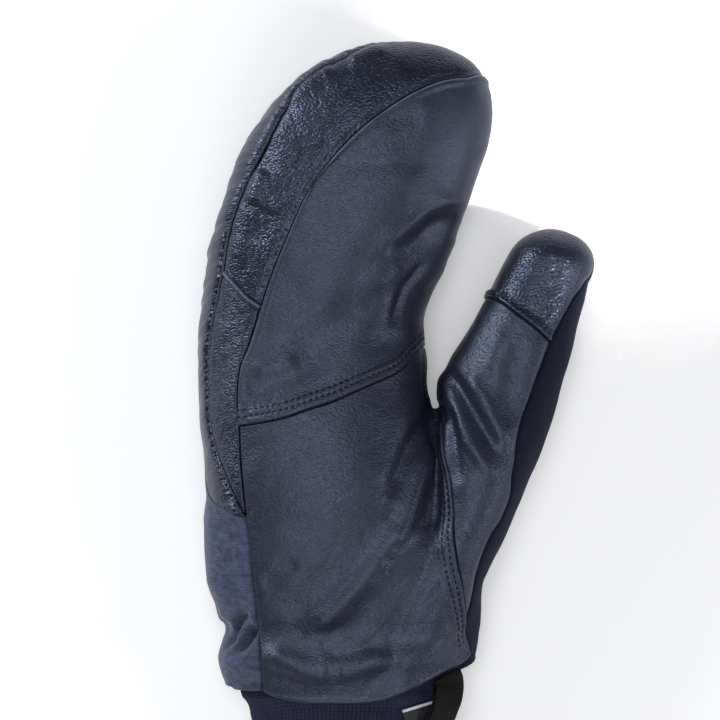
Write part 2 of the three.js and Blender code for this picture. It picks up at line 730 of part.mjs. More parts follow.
const stripRest = stretch(stripOuter, stripBendRow, stripOuter.length - 1,
  wedgeRise + tipRun - steps.stripBend);
const edgeStrip = panelWall([join(stripBend, stripRest), join(stripWedge, stripTip)],
  whole(reversed(stripWristEnd), steps.stripEnd), reversed(stripEndLine), { gap: stripGap });
add('edge_strip', edgeStrip, 0x323544, 0.55);

// Back
const backSteps = 20;
const backLeft = join(dividerLine, indexPalm, indexFingers, tipEndLine, stripEndLine);
const backRest = backLeft.length - 1 - steps.palmEdgeWrist - steps.stripEnd - steps.stripBend;
const backRight = join(palmEdgeWrist, whole(stripWristEnd, steps.stripEnd), stripBend,
  stretch(stripOuter, stripBendRow, stripCornerRow, backRest));
const backPanel = panelWall([backLeft, backRight], whole(backHem, backSteps),
  stretch(stripOuter, stripCornerRow, stripOuter.length - 1, backSteps).reverse(),
  { guides: backGuideRows.map((rows) => rows.map(bodyPoint)) });
add('back_panel', backPanel, 0x4b5167, 0.85);

// Thumb
const frontStart = 0.3;
const frontSides = [join(thumbSeamLine, innerThumbLine), [...outerThumbLine]];
frontSides[0][0] = thumbSeamLine[0].clone().lerp(thumbSeamLine[1], frontStart);
frontSides[1][0] = outerThumbLine[0].clone().lerp(outerThumbLine[1], frontStart);
const thumbFront = panelWall(frontSides, between(frontSides, steps.capHem), capHemLine);
add('thumb_front', thumbFront, 0x3d4251, 0.42);

const thumbTip = panelWall([innerCapLine, outerCapLine], capHemLine, thumbTopLine);
add('thumb_tip', thumbTip, 0x3b4051, 0.4);

const thumbBack = panelWall(
  [join(wristLine, outerThumbLine, outerCapLine), join(dividerLine, innerThumbLine, innerCapLine)],
  whole(thumbHem, steps.capHem), reversed(thumbTopLine),
  { guides: thumbGuideRows.map((rows) => rows.map(thumbPoint)) });
add('thumb_back', thumbBack, 0x1f2232, 0.95);

// Knitted cuff: a closed profile turned round, then laid on the wrist's sections
const cuffRise = 9;
const ribSides = 2; // facets from one rib to the next
function cuffPoint(turn, y, depth) {
  const [little, index, palm, back] = rowAt(cuffSections, y / cuffLength);
  const middle = new THREE.Vector3((index - little) * palmWidth / 2, y,
    (palm + back) * palmDepth / 2);
  const way = new THREE.Vector3((index + little) * palmWidth * Math.cos(turn), 0,
    (palm - back) * palmDepth * Math.sin(turn)).normalize();
  let near = 0;
  let far = palmWidth;
  for (let round = 0; round < 40; round += 1) {
    const half = (near + far) / 2;
    if (cuffForm(middle.clone().addScaledVector(way, half)) < 0) near = half;
    else far = half;
  }
  return middle.addScaledVector(way, near - depth);
}

const profile = [];
for (let j = 0; j <= cuffRise; j += 1) profile.push(new THREE.Vector2(2, j));
for (let j = cuffRise; j >= 0; j -= 1) profile.push(new THREE.Vector2(1, j));
profile.push(profile[0].clone());
const cuff = closed(new THREE.LatheGeometry(profile, ribCount * ribSides));
const cuffPlaces = cuff.attributes.position;
for (let k = 0; k < cuffPlaces.count; k += 1) {
  const x = cuffPlaces.getX(k);
  const z = cuffPlaces.getZ(k);
  const turn = Math.atan2(z, x);
  const outside = Math.hypot(x, z) > 1.5;
  const y = cuffTuck - (cuffTuck + cuffLength) * (1 - cuffPlaces.getY(k) / cuffRise);
  const groove = ribHeight * (1 - Math.cos(ribCount * turn)) / 2;
  const p = cuffPoint(turn, y, outside ? groove : cuffWall);
  cuffPlaces.setXYZ(k, p.x, p.y, p.z);
}
add('cuff', cuff, 0x282939, 0.95);

// Webbing loop: a flattened ring of strap that follows its route over the cuff
const loopStart = settle(mittenForm, palmHem[loopHemRow], true);
const route = new THREE.CatmullRomCurve3(loopRoute.map(([x, y, lift]) => {
  const start = loopStart.clone();
  start.x += x * palmWidth;
  start.y += y * loopLength - seamGap;
  return settle(cuffForm, start, true, lift * loopThickness);
}));
const loopBends = 8;
function ringPath(path, length, height) {
  const radius = height / 2;
  for (let i = 0; i <= loopBends; i += 1) path.push([radius + (length - height) * i / loopBends, 0]);
  path.push([length, radius]);
  for (let i = loopBends; i >= 0; i -= 1) {
    path.push([radius + (length - height) * i / loopBends, height]);
  }
  path.push([0, radius]);
  return path.map(([a, b]) => new THREE.Vector2(a, b));
}
const loopHeight = 2 * loopThickness + loopOpening;
const ring = new THREE.Shape(ringPath([], loopLength, loopHeight));
const slot = ringPath([], loopLength - 2 * loopThickness, loopOpening);
ring.holes.push(new THREE.Path(slot.map((p) => p.addScalar(loopThickness))));
const loop = closed(new THREE.ExtrudeGeometry(ring,
  { depth: loopWidth, steps: 2, bevelEnabled: false }));
const tilt = THREE.MathUtils.degToRad(loopTilt);
const loopPlaces = loop.attributes.position;
for (let k = 0; k < loopPlaces.count; k += 1) {
  const share = loopPlaces.getX(k) / loopLength;
  const along = route.getTangentAt(share);
  const beside = new THREE.Vector3(-Math.cos(tilt), 0, Math.sin(tilt));
  beside.addScaledVector(along, -beside.dot(along)).normalize();
  const up = beside.clone().cross(along);
  const p = route.getPointAt(share).addScaledVector(up, loopPlaces.getY(k));
  p.addScaledVector(beside, loopPlaces.getZ(k) - loopWidth / 2);
  loopPlaces.setXYZ(k, p.x, p.y, p.z);
}
add('pull_loop', loop, 0x1d1d1f, 0.8);

// Label, laid on the cuff
const labelSteps = 4;
const turned = THREE.MathUtils.degToRad(labelTurn);
const labelGrid = (level) => Array.from({ length: labelSteps + 1 }, (unused, j) => Array.from(
  { length: labelSteps + 1 }, (skip, i) => {
    const right = labelWidth * i / labelSteps;
    const down = labelLength * (1 - j / labelSteps);
    const x = labelCorner[0] * palmWidth + right * Math.cos(turned) + down * Math.sin(turned);
    const y = labelCorner[1] * cuffLength + right * Math.sin(turned) - down * Math.cos(turned);
    return settle(cuffForm, new THREE.Vector3(x, y, 0.7 * palmDepth), true, level);
  }));
add('label', gridWall(labelGrid(seamGap + labelThickness), labelGrid(seamGap)), 0x202024, 0.7);

export default mitten;
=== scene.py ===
# %% [markdown]
# A leather mitten lies on its back with its palm up. It is sewn from panels of leather and
# cloth, and a ribbed cuff comes out of the wrist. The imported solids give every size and
# place, and each visible piece below is made around them, in the same frame.

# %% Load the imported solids
import itertools
import math

import bpy
import numpy as np
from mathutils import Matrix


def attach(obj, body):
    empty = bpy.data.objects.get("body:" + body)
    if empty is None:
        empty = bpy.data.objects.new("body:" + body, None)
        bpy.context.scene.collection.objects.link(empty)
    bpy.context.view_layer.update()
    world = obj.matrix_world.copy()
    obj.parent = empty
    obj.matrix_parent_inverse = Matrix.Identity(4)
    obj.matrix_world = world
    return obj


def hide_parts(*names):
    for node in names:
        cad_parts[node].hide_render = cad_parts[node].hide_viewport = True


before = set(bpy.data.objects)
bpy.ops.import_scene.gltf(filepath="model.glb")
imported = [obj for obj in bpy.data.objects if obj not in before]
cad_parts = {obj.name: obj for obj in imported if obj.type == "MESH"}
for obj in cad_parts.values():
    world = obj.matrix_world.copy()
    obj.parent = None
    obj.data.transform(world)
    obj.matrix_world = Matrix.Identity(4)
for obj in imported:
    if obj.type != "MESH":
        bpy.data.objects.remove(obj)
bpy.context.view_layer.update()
print("packed pieces:", ", ".join(sorted(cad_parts)))

# %% [markdown]
# The hand's form is one rounded body and one rounded thumb, blended where they meet and
# flattened where they rest. It is kept as a rule that tells how far any point is outside it,
# because then a seam or a panel can be laid on it at any fineness. The tables are the ones
# that the solids were made from: shares of a few sizes, in millimetres.

# %% Sizes and section tables
MM = 0.001
BODY_LENGTH = 250.0  # wrist seam to fingertip
PALM_WIDTH = 92.0
PALM_DEPTH = 58.0
THUMB_LENGTH = 80.5
THUMB_WIDTH = 44.0
THUMB_LEAN = math.radians(22.5)
THUMB_TIP_SHIFT = 2.5
CROTCH_BLEND = 5.0
FLOOR_BLEND = 8.0
CUFF_LENGTH = 48.0
SHELL_WALL = 3.0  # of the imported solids
CUFF_CLEARANCE = 1.5  # between the cuff and the wrist's inside
REST_PLACE = 0.4 * BODY_LENGTH  # the frame's origin, up from the wrist seam

# Share of body length, little-finger side, index side, palm height, back height
BODY_SECTIONS = (
    (-.06, .395, .575, .8, .01), (-.023, .4, .575, .8, 0), (-.011, .412, .567, .8, -.017),
    (.005, .442, .563, .819, -.034), (.023, .462, .586, .836, -.052),
    (.046, .473, .612, .862, -.069), (.088, .454, .628, .845, -.069),
    (.116, .483, .625, .879, -.086), (.154, .506, .61, .914, -.103), (.2, .519, .56, .948, -.112),
    (.262, .525, .51, .983, -.112), (.323, .529, .481, 1, -.112), (.37, .531, .462, .991, -.112),
    (.416, .55, .444, .974, -.112), (.462, .561, .405, .948, -.112),
    (.508, .563, .404, .931, -.103), (.547, .557, .395, .922, -.086),
    (.601, .54, .448, .931, -.06), (.647, .523, .502, .948, -.026), (.693, .498, .536, .966, .009),
    (.739, .465, .573, .983, .043), (.785, .427, .611, .983, .078), (.808, .406, .632, .974, .103),
)
BODY_SQUARENESS = 2.25
TIP_SQUARENESS = 2.15
TIP_SHIFT = 0.213 * PALM_WIDTH
TIP_RISE = 0.05 * PALM_DEPTH

# Share of thumb length, inner side, outer side, middle height, half depth
THUMB_SECTIONS = (
    (-.699, .131, .525, .614, .477), (-.483, .192, .569, .625, .523),
    (-.311, .254, .577, .636, .534), (-.148, .332, .577, .641, .523), (0, .437, .577, .648, .5),
    (.12, .512, .564, .652, .477), (.225, .481, .542, .659, .455), (.373, .446, .507, .67, .432),
    (.522, .411, .472, .677, .416), (.665, .376, .429, .682, .398), (.813, .332, .385, .682, .386),
)
THUMB_SQUARENESS = 2.1
THUMB_ROOT = (0.646 * PALM_WIDTH, 0.412 * BODY_LENGTH)

# Share of cuff length from the wrist seam, then sides and heights as the body's
CUFF_SECTIONS = (
    (-1, .285, .485, .724, .017), (-.56, .31, .498, .741, .017), (-.25, .343, .523, .759, .017),
    (-.14, .358, .54, .77, .017), (0, .42, .58, .85, .01), (.3, .52, .66, .95, -.05),
)

# %% [markdown]
# Each section is an oval whose sides come from a smooth reading of its table. The ends are
# rounded like the end of an egg. The two forms melt into each other at the crotch, and the
# floor takes the lowest part away, as the weight of the mitten does.

# %% The hand's form
def table_at(table, where):
    """The table's values at each place, on a smooth curve that is held past both ends."""
    table = np.asarray(table, float)
    knots, values = table[:, 0], table[:, 1:]
    gaps = np.empty_like(values)
    gaps[1:-1] = (values[2:] - values[:-2]) / (knots[2:] - knots[:-2])[:, None]
    gaps[0] = (values[1] - values[0]) / (knots[1] - knots[0])
    gaps[-1] = (values[-1] - values[-2]) / (knots[-1] - knots[-2])
    where = np.clip(where, knots[0], knots[-1])
    k = np.clip(np.searchsorted(knots, where) - 1, 0, len(knots) - 2)
    step = (knots[k + 1] - knots[k])[..., None]
    t = (where[..., None] - knots[k][..., None]) / step
    rise = 3 * t**2 - 2 * t**3
    bend = (t**3 - 2 * t**2 + t) * step * gaps[k] + (t**3 - t**2) * step * gaps[k + 1]
    return values[k] * (1 - rise) + values[k + 1] * rise + bend


def super_distance(dx, dz, ahead, half, squareness, cap_squareness):
    """About how far a point is outside an oval section with a rounded end."""
    section = (np.abs(dx / half[0]) ** squareness
               + np.abs(dz / half[1]) ** squareness) ** (1 / squareness)
    past = np.maximum(ahead, 0)
    ratio = (section**cap_squareness + (past / half[2]) ** cap_squareness) ** (1 / cap_squareness)
    return np.sqrt(dx**2 + dz**2 + past**2) * (1 - 1 / (ratio + 1e-9))


def oval_at(table, where):
    """Middle of the body's or the cuff's section, across and up, and its half sizes."""
    little, index, palm, back = np.moveaxis(table_at(table, where), -1, 0)
    return ((index - little) * PALM_WIDTH / 2, (palm + back) * PALM_DEPTH / 2,
            (index + little) * PALM_WIDTH / 2, (palm - back) * PALM_DEPTH / 2)


def tip_share(where, start):
    """0 where the rounded end starts, 1 at the tip, and held a little past it."""
    return np.clip((where - start) / (1 - start), 0, 1.3)


def body_form(p):
    start, share = BODY_SECTIONS[-1][0], p[..., 1] / BODY_LENGTH
    middle, level, *half = oval_at(BODY_SECTIONS, share)
    t = tip_share(share, start)
    return super_distance(p[..., 0] - middle - TIP_SHIFT * t, p[..., 2] - level - TIP_RISE * t,
                          p[..., 1] - start * BODY_LENGTH, (*half, (1 - start) * BODY_LENGTH),
                          BODY_SQUARENESS, TIP_SQUARENESS)


def thumb_form(p):
    start = THUMB_SECTIONS[-1][0]
    px, py = p[..., 0] - THUMB_ROOT[0], p[..., 1] - THUMB_ROOT[1]
    along = px * math.sin(THUMB_LEAN) + py * math.cos(THUMB_LEAN)
    across = px * math.cos(THUMB_LEAN) - py * math.sin(THUMB_LEAN)
    inner, outer, middle, depth = np.moveaxis(table_at(THUMB_SECTIONS, along / THUMB_LENGTH), -1, 0)
    half = ((outer + inner) * THUMB_WIDTH / 2, depth * THUMB_WIDTH, (1 - start) * THUMB_LENGTH)
    t = tip_share(along / THUMB_LENGTH, start)
    return super_distance(across - (outer - inner) * THUMB_WIDTH / 2 - THUMB_TIP_SHIFT * t,
                          p[..., 2] - middle * THUMB_WIDTH, along - start * THUMB_LENGTH, half,
                          THUMB_SQUARENESS, THUMB_SQUARENESS)


def smooth_min(a, b, blend):
    near = np.maximum(blend - np.abs(a - b), 0) / blend
    return np.minimum(a, b) - near * near * blend / 4


def hand_form(p):
    hand = smooth_min(body_form(p), thumb_form(p), CROTCH_BLEND)
    return -smooth_min(-hand, p[..., 2], FLOOR_BLEND)


def cuff_form(p):
    """The tube of the cuff, drawn in where it goes up inside the wrist."""
    middle, level, *half = oval_at(CUFF_SECTIONS, p[..., 1] / CUFF_LENGTH)
    tube = super_distance(p[..., 0] - middle, p[..., 2] - level, np.zeros_like(middle),
                          (*half, 1.0), BODY_SQUARENESS, TIP_SQUARENESS)
    tucked = smooth_step(p[..., 1], -6, -1) * 10 - 10
    return np.maximum(tube, hand_form(p) + SHELL_WALL + CUFF_CLEARANCE + tucked)


palm_middle = np.array([0, REST_PLACE, PALM_DEPTH])
print("mm from the palm's middle down to the form:", round(float(hand_form(palm_middle)), 2))

# %% [markdown]
# A point is moved onto the form by walking against its slope. A seam that faces up keeps its
# place as seen from above, because that is where the photograph shows it.

# %% Laying points on the form
def smooth_step(value, low, high):
    t = np.clip((value - low) / (high - low), 0, 1)
    return t * t * (3 - 2 * t)


SLOPE_STEP = 0.05
FACING_UP = (0.3, 0.6)  # share of the slope that points up, where plan places begin to hold


def slope_of(form, p):
    """The form's slope at each point."""
    axes = np.eye(3) * SLOPE_STEP
    return np.stack([(form(p + a) - form(p - a)) / (2 * SLOPE_STEP) for a in axes], -1)


def settle(form, start, keep_plan=False, level=0.0, rounds=12):
    """The points, walked to where the form has this level."""
    p = np.array(start, float)
    for _ in range(rounds):
        slope = slope_of(form, p)
        away = np.clip(form(p) - level, -8, 8)
        way = slope.copy()
        if keep_plan:
            facing = np.abs(slope[..., 2]) / np.linalg.norm(slope, axis=-1)
            way[..., :2] *= 1 - smooth_step(facing, *FACING_UP)[..., None]
        p -= way * (away / (way * slope).sum(-1))[..., None]
    return p


def unit(vectors):
    return vectors / np.linalg.norm(vectors, axis=-1, keepdims=True)


def smooth_curve(points, where):
    """Points on a smooth curve through the given ones. They may be whole rows of points."""
    points = np.asarray(points, float)
    first, last = 2 * points[0] - points[1], 2 * points[-1] - points[-2]
    points = np.concatenate([first[None], points, last[None]])
    k = np.clip(np.floor(where).astype(int), 0, len(points) - 4)
    t = (where - k).reshape((-1,) + (1,) * (points.ndim - 1))
    a, b, c, d = (points[k + i] for i in range(4))
    spans = [np.sqrt(np.linalg.norm(q - p, axis=-1, keepdims=True))
             for p, q in ((a, b), (b, c), (c, d))]
    middle = np.where(spans[1] < 1e-4, 1.0, spans[1])
    before = np.where(spans[0] < 1e-4, middle, spans[0])
    after = np.where(spans[2] < 1e-4, middle, spans[2])
    start = ((b - a) / before - (c - a) / (before + middle) + (c - b) / middle) * middle
    end = ((c - b) / middle - (d - b) / (middle + after) + (d - c) / after) * middle
    return (b + start * t + (-3 * b + 3 * c - 2 * start - end) * t**2
            + (2 * b - 2 * c + start + end) * t**3)


def reach_of(points):
    """Distance along a line of points, from its first."""
    return np.concatenate([[0], np.cumsum(np.linalg.norm(np.diff(points, axis=0), axis=1))])


def read_along(reach, points, where):
    """Places on a line of points, at these distances along it."""
    return np.stack([np.interp(where, reach, points[:, k]) for k in range(3)], -1)


def stretch(points, start, stop, steps):
    """Evenly spaced points on a seam, between two of the rows it is given by."""
    fine = max(12 * (stop - start), 2 * steps)
    trail = settle(hand_form, smooth_curve(points, np.linspace(start, stop, fine + 1)), True)
    reach = reach_of(trail)
    even = read_along(reach, trail, np.linspace(0, reach[-1], steps + 1))
    return settle(hand_form, even, rounds=4)


# %% [markdown]
# The pattern pieces meet at seams. Each seam is a short table of places on the body or on the
# thumb, read off the photograph from above and guessed where the mitten hides it.

# %% Seam tables
# Share of palm width across, body length up from the wrist seam, palm depth up
PALM_EDGE = (
    (-.285, -.005, .75), (-.291, .062, .78), (-.31, .139, .8), (-.335, .231, .8),
    (-.352, .268, .8), (-.364, .308, .8), (-.375, .36, .8), (-.38, .407, .8), (-.387, .439, .8),
    (-.375, .496, .8), (-.339, .531, .8), (-.289, .591, .8), (-.255, .628, .8), (-.176, .698, .85),
    (-.067, .779, .85), (.096, .85, .85), (.28, .903, .85), (.46, .936, .8), (.569, .943, .72),
    (.661, .942, .5),
)
PALM_CROSS = (
    (-.264, .414, .9), (-.176, .422, .9), (-.084, .434, .9), (.008, .445, .9), (.096, .459, .9),
    (.188, .474, .9), (.28, .49, .9), (.35, .512, .85), (.385, .524, .7), (.402, .529, .55),
)
INDEX_SEAM = (
    (.435, .445, .5), (.418, .465, .45), (.405, .508, .42), (.407, .53, .41), (.41, .554, .4),
    (.477, .624, .4), (.552, .716, .4), (.632, .808, .42), (.68, .899, .46),
)
STRIP_INNER = (
    (-.366, .279, .78), (-.414, .314, .75), (-.471, .37, .72), (-.504, .417, .7),
    (-.511, .453, .7), (-.513, .508, .7), (-.492, .57, .72), (-.462, .622, .75),
    (-.447, .647, .75), (-.439, .67, .75), (-.414, .715, .75), (-.364, .765, .75),
    (-.283, .825, .75), (-.174, .898, .75), (-.126, .922, .75), (-.019, .953, .75),
    (.088, .973, .72), (.172, .986, .68), (.293, 1, .54), (.418, .996, .44), (.53, .972, .34),
    (.585, .945, .3),
)
STRIP_OUTER = (
    (-.414, .272, .7), (-.439, .282, .66), (-.462, .296, .6), (-.498, .33, .5), (-.517, .348, .4),
    (-.54, .4, .26), (-.54, .462, .2), (-.54, .539, .18), (-.52, .6, .19), (-.48, .67, .21),
    (-.42, .762, .24), (-.32, .855, .26), (-.15, .924, .27), (0, .955, .3), (.17, .97, .32),
    (.33, .965, .3), (.44, .945, .25), (.5, .925, .2),
)
SIDE_TOP = (
    (-.414, .633, .8), (-.377, .618, .8), (-.341, .604, .8),
)
THUMB_SEAM = (
    (.557, .105, .66), (.54, .154, .8), (.523, .223, .85), (.511, .293, .85), (.494, .346, .8),
    (.469, .4, .75), (.454, .428, .62),
)
WRIST_SEAM = (
    (.557, .094, .66), (.563, .082, .66), (.578, .067, .64),
)
BACK_DIVIDER = (
    (.47, .03, .14), (.52, .09, .14), (.54, .16, .13), (.52, .24, .13), (.47, .32, .16),
    (.43, .38, .22), (.425, .42, .34),
)
PALM_HEM = (
    (-.285, -.005, .75), (-.23, -.014, .8), (-.117, -.021, .8), (.013, -.022, .8),
    (.142, -.021, .8), (.239, -.014, .8), (.377, .006, .8), (.481, .026, .75), (.557, .04, .66),
    (.588, .05, .58),
)
THUMB_HEM = (
    (.6, .04, .45), (.58, .025, .28), (.46, .01, .1),
)
BACK_HEM = (
    (.25, .008, 0), (0, .008, 0), (-.25, .008, 0), (-.37, .003, .08), (-.435, -.002, .28),
    (-.44, -.005, .5), (-.372, -.005, .68),
)
BACK_GUIDES = (
    ((.42, .16, .01), (.36, .36, .01), (.32, .52, .02), (.42, .7, .06), (.45, .83, .14)),
    ((.02, .16, 0), (0, .36, 0), (0, .54, 0), (.08, .7, .01), (.2, .86, .14)),
    ((-.39, .13, .02), (-.42, .3, .01), (-.42, .46, .02), (-.38, .6, .06), (-.24, .8, .16)),
)
# Share of thumb width across, thumb length along, thumb width up
THUMB_OUTER = (
    (.445, -.855, .86), (.414, -.763, .9), (.407, -.636, .95), (.416, -.504, .95),
    (.432, -.381, .93), (.425, -.254, .93), (.39, -.132, .96), (.339, -.04, .98), (.301, .06, 1),
    (.282, .185, 1), (.268, .316, 1), (.261, .475, .98), (.279, .552, .96), (.307, .703, .9),
    (.311, .797, .85), (.271, .938, .7),
)
INNER_THUMB = (
    (-.515, .113, .64), (-.496, .2, .64), (-.445, .357, .64), (-.4, .548, .64), (-.361, .671, .62),
    (-.296, .836, .62), (-.212, .912, .6), (-.123, .958, .58),
)
THUMB_TOP = (
    (-.009, .994, .62), (.131, .984, .64), (.223, .964, .68),
)
CAP_HEM = (
    (-.378, .569, .8), (-.309, .566, .92), (-.218, .558, 1.02), (-.125, .543, 1.05),
    (-.029, .529, 1.05), (.065, .516, 1.05), (.158, .499, 1.02),
)
THUMB_GUIDES = (
    ((.6, -.85, .6), (.53, -.6, .6), (.56, -.3, .62), (.577, 0, .65), (.52, .3, .66),
     (.45, .6, .67), (.37, .85, .66)),
    ((.45, -.85, .17), (.38, -.6, .13), (.3, -.3, .13), (.2, 0, .15), (.1, .3, .2),
     (.05, .6, .26), (.04, .85, .36)),
)

# %% [markdown]
# Real panels are sewn edge to edge, so neighbours have to share a seam's points exactly. The
# ends of each seam are therefore taken from the seams they run into, and every stretch between
# two junctions gets its own name and its own number of steps.

# %% The seams, with the junctions that they share
def on_body(rows):
    return [np.array(row) * (PALM_WIDTH, BODY_LENGTH, PALM_DEPTH) for row in rows]


def on_thumb(rows):
    points = []
    for across, along, up in rows:
        w, s = across * THUMB_WIDTH, along * THUMB_LENGTH
        points.append(np.array((
            THUMB_ROOT[0] + w * math.cos(THUMB_LEAN) + s * math.sin(THUMB_LEAN),
            THUMB_ROOT[1] - w * math.sin(THUMB_LEAN) + s * math.cos(THUMB_LEAN),
            up * THUMB_WIDTH)))
    return points


palm_edge, palm_hem = on_body(PALM_EDGE), on_body(PALM_HEM)
strip_outer = on_body(STRIP_OUTER)
crotch = on_body(INDEX_SEAM[:1])[0]
index_seam = on_body(INDEX_SEAM) + [palm_edge[-1]]
palm_cross = [palm_edge[7], *on_body(PALM_CROSS), index_seam[3]]
strip_inner = [palm_edge[4], *on_body(STRIP_INNER)]
strip_tip_end = [palm_edge[-1], strip_inner[-1], strip_outer[-1]]
strip_wrist_end = [strip_outer[0], palm_edge[4]]
side_top = [strip_inner[9], *on_body(SIDE_TOP), palm_edge[11]]
thumb_seam = on_body(THUMB_SEAM) + [crotch]
wrist_seam = [palm_hem[-1], *on_body(WRIST_SEAM)[::-1], thumb_seam[0]]
thumb_hem = [palm_hem[-1], *on_body(THUMB_HEM)]
back_divider = [thumb_hem[-1], *on_body(BACK_DIVIDER), crotch]
back_hem = [thumb_hem[-1], *on_body(BACK_HEM), palm_edge[0]]
thumb_outer = [thumb_seam[0], *on_thumb(THUMB_OUTER)]
inner_thumb = [crotch, *on_thumb(INNER_THUMB)]
thumb_top = [inner_thumb[-1], *on_thumb(THUMB_TOP), thumb_outer[-1]]
cap_hem = [inner_thumb[4], *on_thumb(CAP_HEM), thumb_outer[12]]

# Each run of a seam: its rows, from which row to which, and its share of a panel's steps
RUNS = {
    "palm edge, wrist": (palm_edge, 0, 4, 9),
    "palm edge, wedge": (palm_edge, 4, 7, 9),
    "palm edge, side": (palm_edge, 7, 11, 6),
    "palm edge, tip": (palm_edge, 11, 14, 8),
    "palm edge, top": (palm_edge, 14, 19, 12),
    "cross": (palm_cross, 0, len(palm_cross) - 1, 12),
    "index, palm": (index_seam, 0, 3, 4),
    "index, fingers": (index_seam, 3, 9, 14),
    "strip, wedge": (strip_inner, 0, 9, 15),
    "strip, tip": (strip_inner, 9, 22, 20),
    "strip bend": (strip_outer, 0, 5, 8),
    "strip rest": (strip_outer, 5, 17, 27),
    "strip back": (strip_outer, 5, 12, 19),
    "strip over tip": (strip_outer, 12, 17, 20),
    "strip wrist end": (strip_wrist_end, 0, 1, 2),
    "wrist": (wrist_seam, 0, 4, 2),
    "thumb": (thumb_seam, 0, 7, 12),
    "divider": (back_divider, 0, 8, 14),
    "inner thumb": (inner_thumb, 0, 4, 7),
    "inner cap": (inner_thumb, 4, 8, 8),
    "outer thumb": (thumb_outer, 0, 12, 19),
    "outer cap": (thumb_outer, 12, 16, 8),
    "cap hem": (cap_hem, 0, 8, 10),
    "thumb top": (thumb_top, 0, 4, 10),
    "side top": (side_top, 0, 4, 4),
    "tip end": (strip_tip_end, 0, 1, 4),
    "strip end": (strip_tip_end, 1, 2, 2),
    "palm hem": (palm_hem, 0, 9, 12),
    "thumb hem": (thumb_hem, 0, 3, 10),
    "back hem": (back_hem, 0, 8, 20),
}
assert len(index_seam) == 10 and len(strip_inner) == 23 and len(thumb_outer) == 17


def runs(names, fineness):
    """One line of points along the named runs. A run with a minus is taken backwards."""
    line = None
    for name in names.split("; "):
        points, start, stop, steps = RUNS[name.lstrip("-")]
        part = stretch(points, start, stop, max(round(steps * fineness), 2))
        part = part[::-1] if name.startswith("-") else part
        line = part if line is None else np.concatenate([line, part[1:]])
    return line


print("seam runs:", len(RUNS))

# %% [markdown]
# A panel is a grid of points on the form between four seams. Seen from outside, its first
# column is at the left and its first row at the foot. Leather doesn't lie dead flat on the
# padding: it sinks at the seams, swells beside them, and puckers, folds and creases. That
# relief is added along the form's own slope, so that neighbours stay joined.

# %% Grids between seams
def between(left, right, count):
    share = np.linspace(0, 1, count + 1)[:, None]
    return left * (1 - share) + right * share


def resampled(points, count):
    return smooth_curve(points, np.linspace(0, len(points) - 1, count + 1))


def fitted(grid, left, right, foot, head):
    """The grid, moved so that its borders are the four seams."""
    u = np.linspace(0, 1, grid.shape[1])[None, :, None]
    v = np.linspace(0, 1, grid.shape[0])[:, None, None]
    grid = grid + (left - grid[:, 0])[:, None] * (1 - u) + (right - grid[:, -1])[:, None] * u
    return grid + (foot - grid[0])[None] * (1 - v) + (head - grid[-1])[None] * v


def graded(count, length, edge=3.0):
    """Places along a line of count steps, closer together near its two ends."""
    t = np.linspace(0, 1, 800)
    step = 0.4 + 0.6 * smooth_step(np.minimum(t, 1 - t) * length, edge * 0.5, edge * 1.3)
    reach = np.concatenate([[0], np.cumsum(1 / (step[1:] + step[:-1]))])
    return np.interp(np.linspace(0, reach[-1], count + 1), reach, t) * count


UNTANGLE_ROUNDS = 8
SLACKEN_ROUNDS = 16
FOLDED_BELOW = 0.5  # cosine between a square's facing and the form's


def untangled(grid):
    """Slackens the few squares that a bend in a seam has folded over."""
    for _ in range(UNTANGLE_ROUNDS):
        across, along = grid[1:-1, 2:] - grid[1:-1, :-2], grid[2:, 1:-1] - grid[:-2, 1:-1]
        way = slope_of(hand_form, grid[1:-1, 1:-1])
        sizes = np.prod([np.linalg.norm(v, axis=-1) for v in (across, along, way)], axis=0)
        folded = np.zeros(grid.shape[:2], bool)
        folded[1:-1, 1:-1] = (np.cross(across, along) * way).sum(-1) < FOLDED_BELOW * sizes
        if not folded.any():
            break
        near = folded.copy()
        for step, axis in itertools.product((-2, -1, 1, 2), (0, 1)):
            near |= np.roll(folded, step, axis)
        inner = near[1:-1, 1:-1, None]
        mean = (grid[:-2, 1:-1] + grid[2:, 1:-1] + grid[1:-1, :-2] + grid[1:-1, 2:]) / 4
        grid[1:-1, 1:-1] = np.where(inner, mean, grid[1:-1, 1:-1])
    return grid


def panel_grid(columns, foot, head, coarse):
    """A coarse grid is laid on the form, slackened until it lies even, and then made fine."""
    rows, across = (max(round((len(line) - 1) / part), 3) for line, part in
                    ((columns[0], coarse[1]), (foot, coarse[0])))
    low = [resampled(column, rows) for column in columns]
    seams = (low[0], low[-1], resampled(foot, across), resampled(head, across))
    grid = np.moveaxis(resampled(np.array(low), across), 0, 1)
    grid = settle(hand_form, fitted(grid, *seams))
    for _ in range(SLACKEN_ROUNDS):
        inner = grid[1:-1, 1:-1]
        around = grid[:-2, 1:-1] + grid[2:, 1:-1] + grid[1:-1, :-2] + grid[1:-1, 2:]
        grid[1:-1, 1:-1] = settle(hand_form, 0.4 * inner + 0.15 * around, rounds=2)
    grid = resampled(grid, len(columns[0]) - 1)
    grid = np.moveaxis(resampled(np.moveaxis(grid, 1, 0), len(foot) - 1), 0, 1)
    grid = settle(hand_form, fitted(grid, columns[0], columns[-1], foot, head), rounds=4)
    grid[:, 0], grid[:, -1], grid[0], grid[-1] = columns[0], columns[-1], foot, head
    for _ in range(2):
        length = np.linalg.norm(np.diff(grid, axis=0), axis=2).sum(0).mean()
        grid = np.moveaxis(smooth_curve(grid, graded(len(grid) - 1, length)), 1, 0)
    return settle(hand_form, untangled(grid), rounds=3)


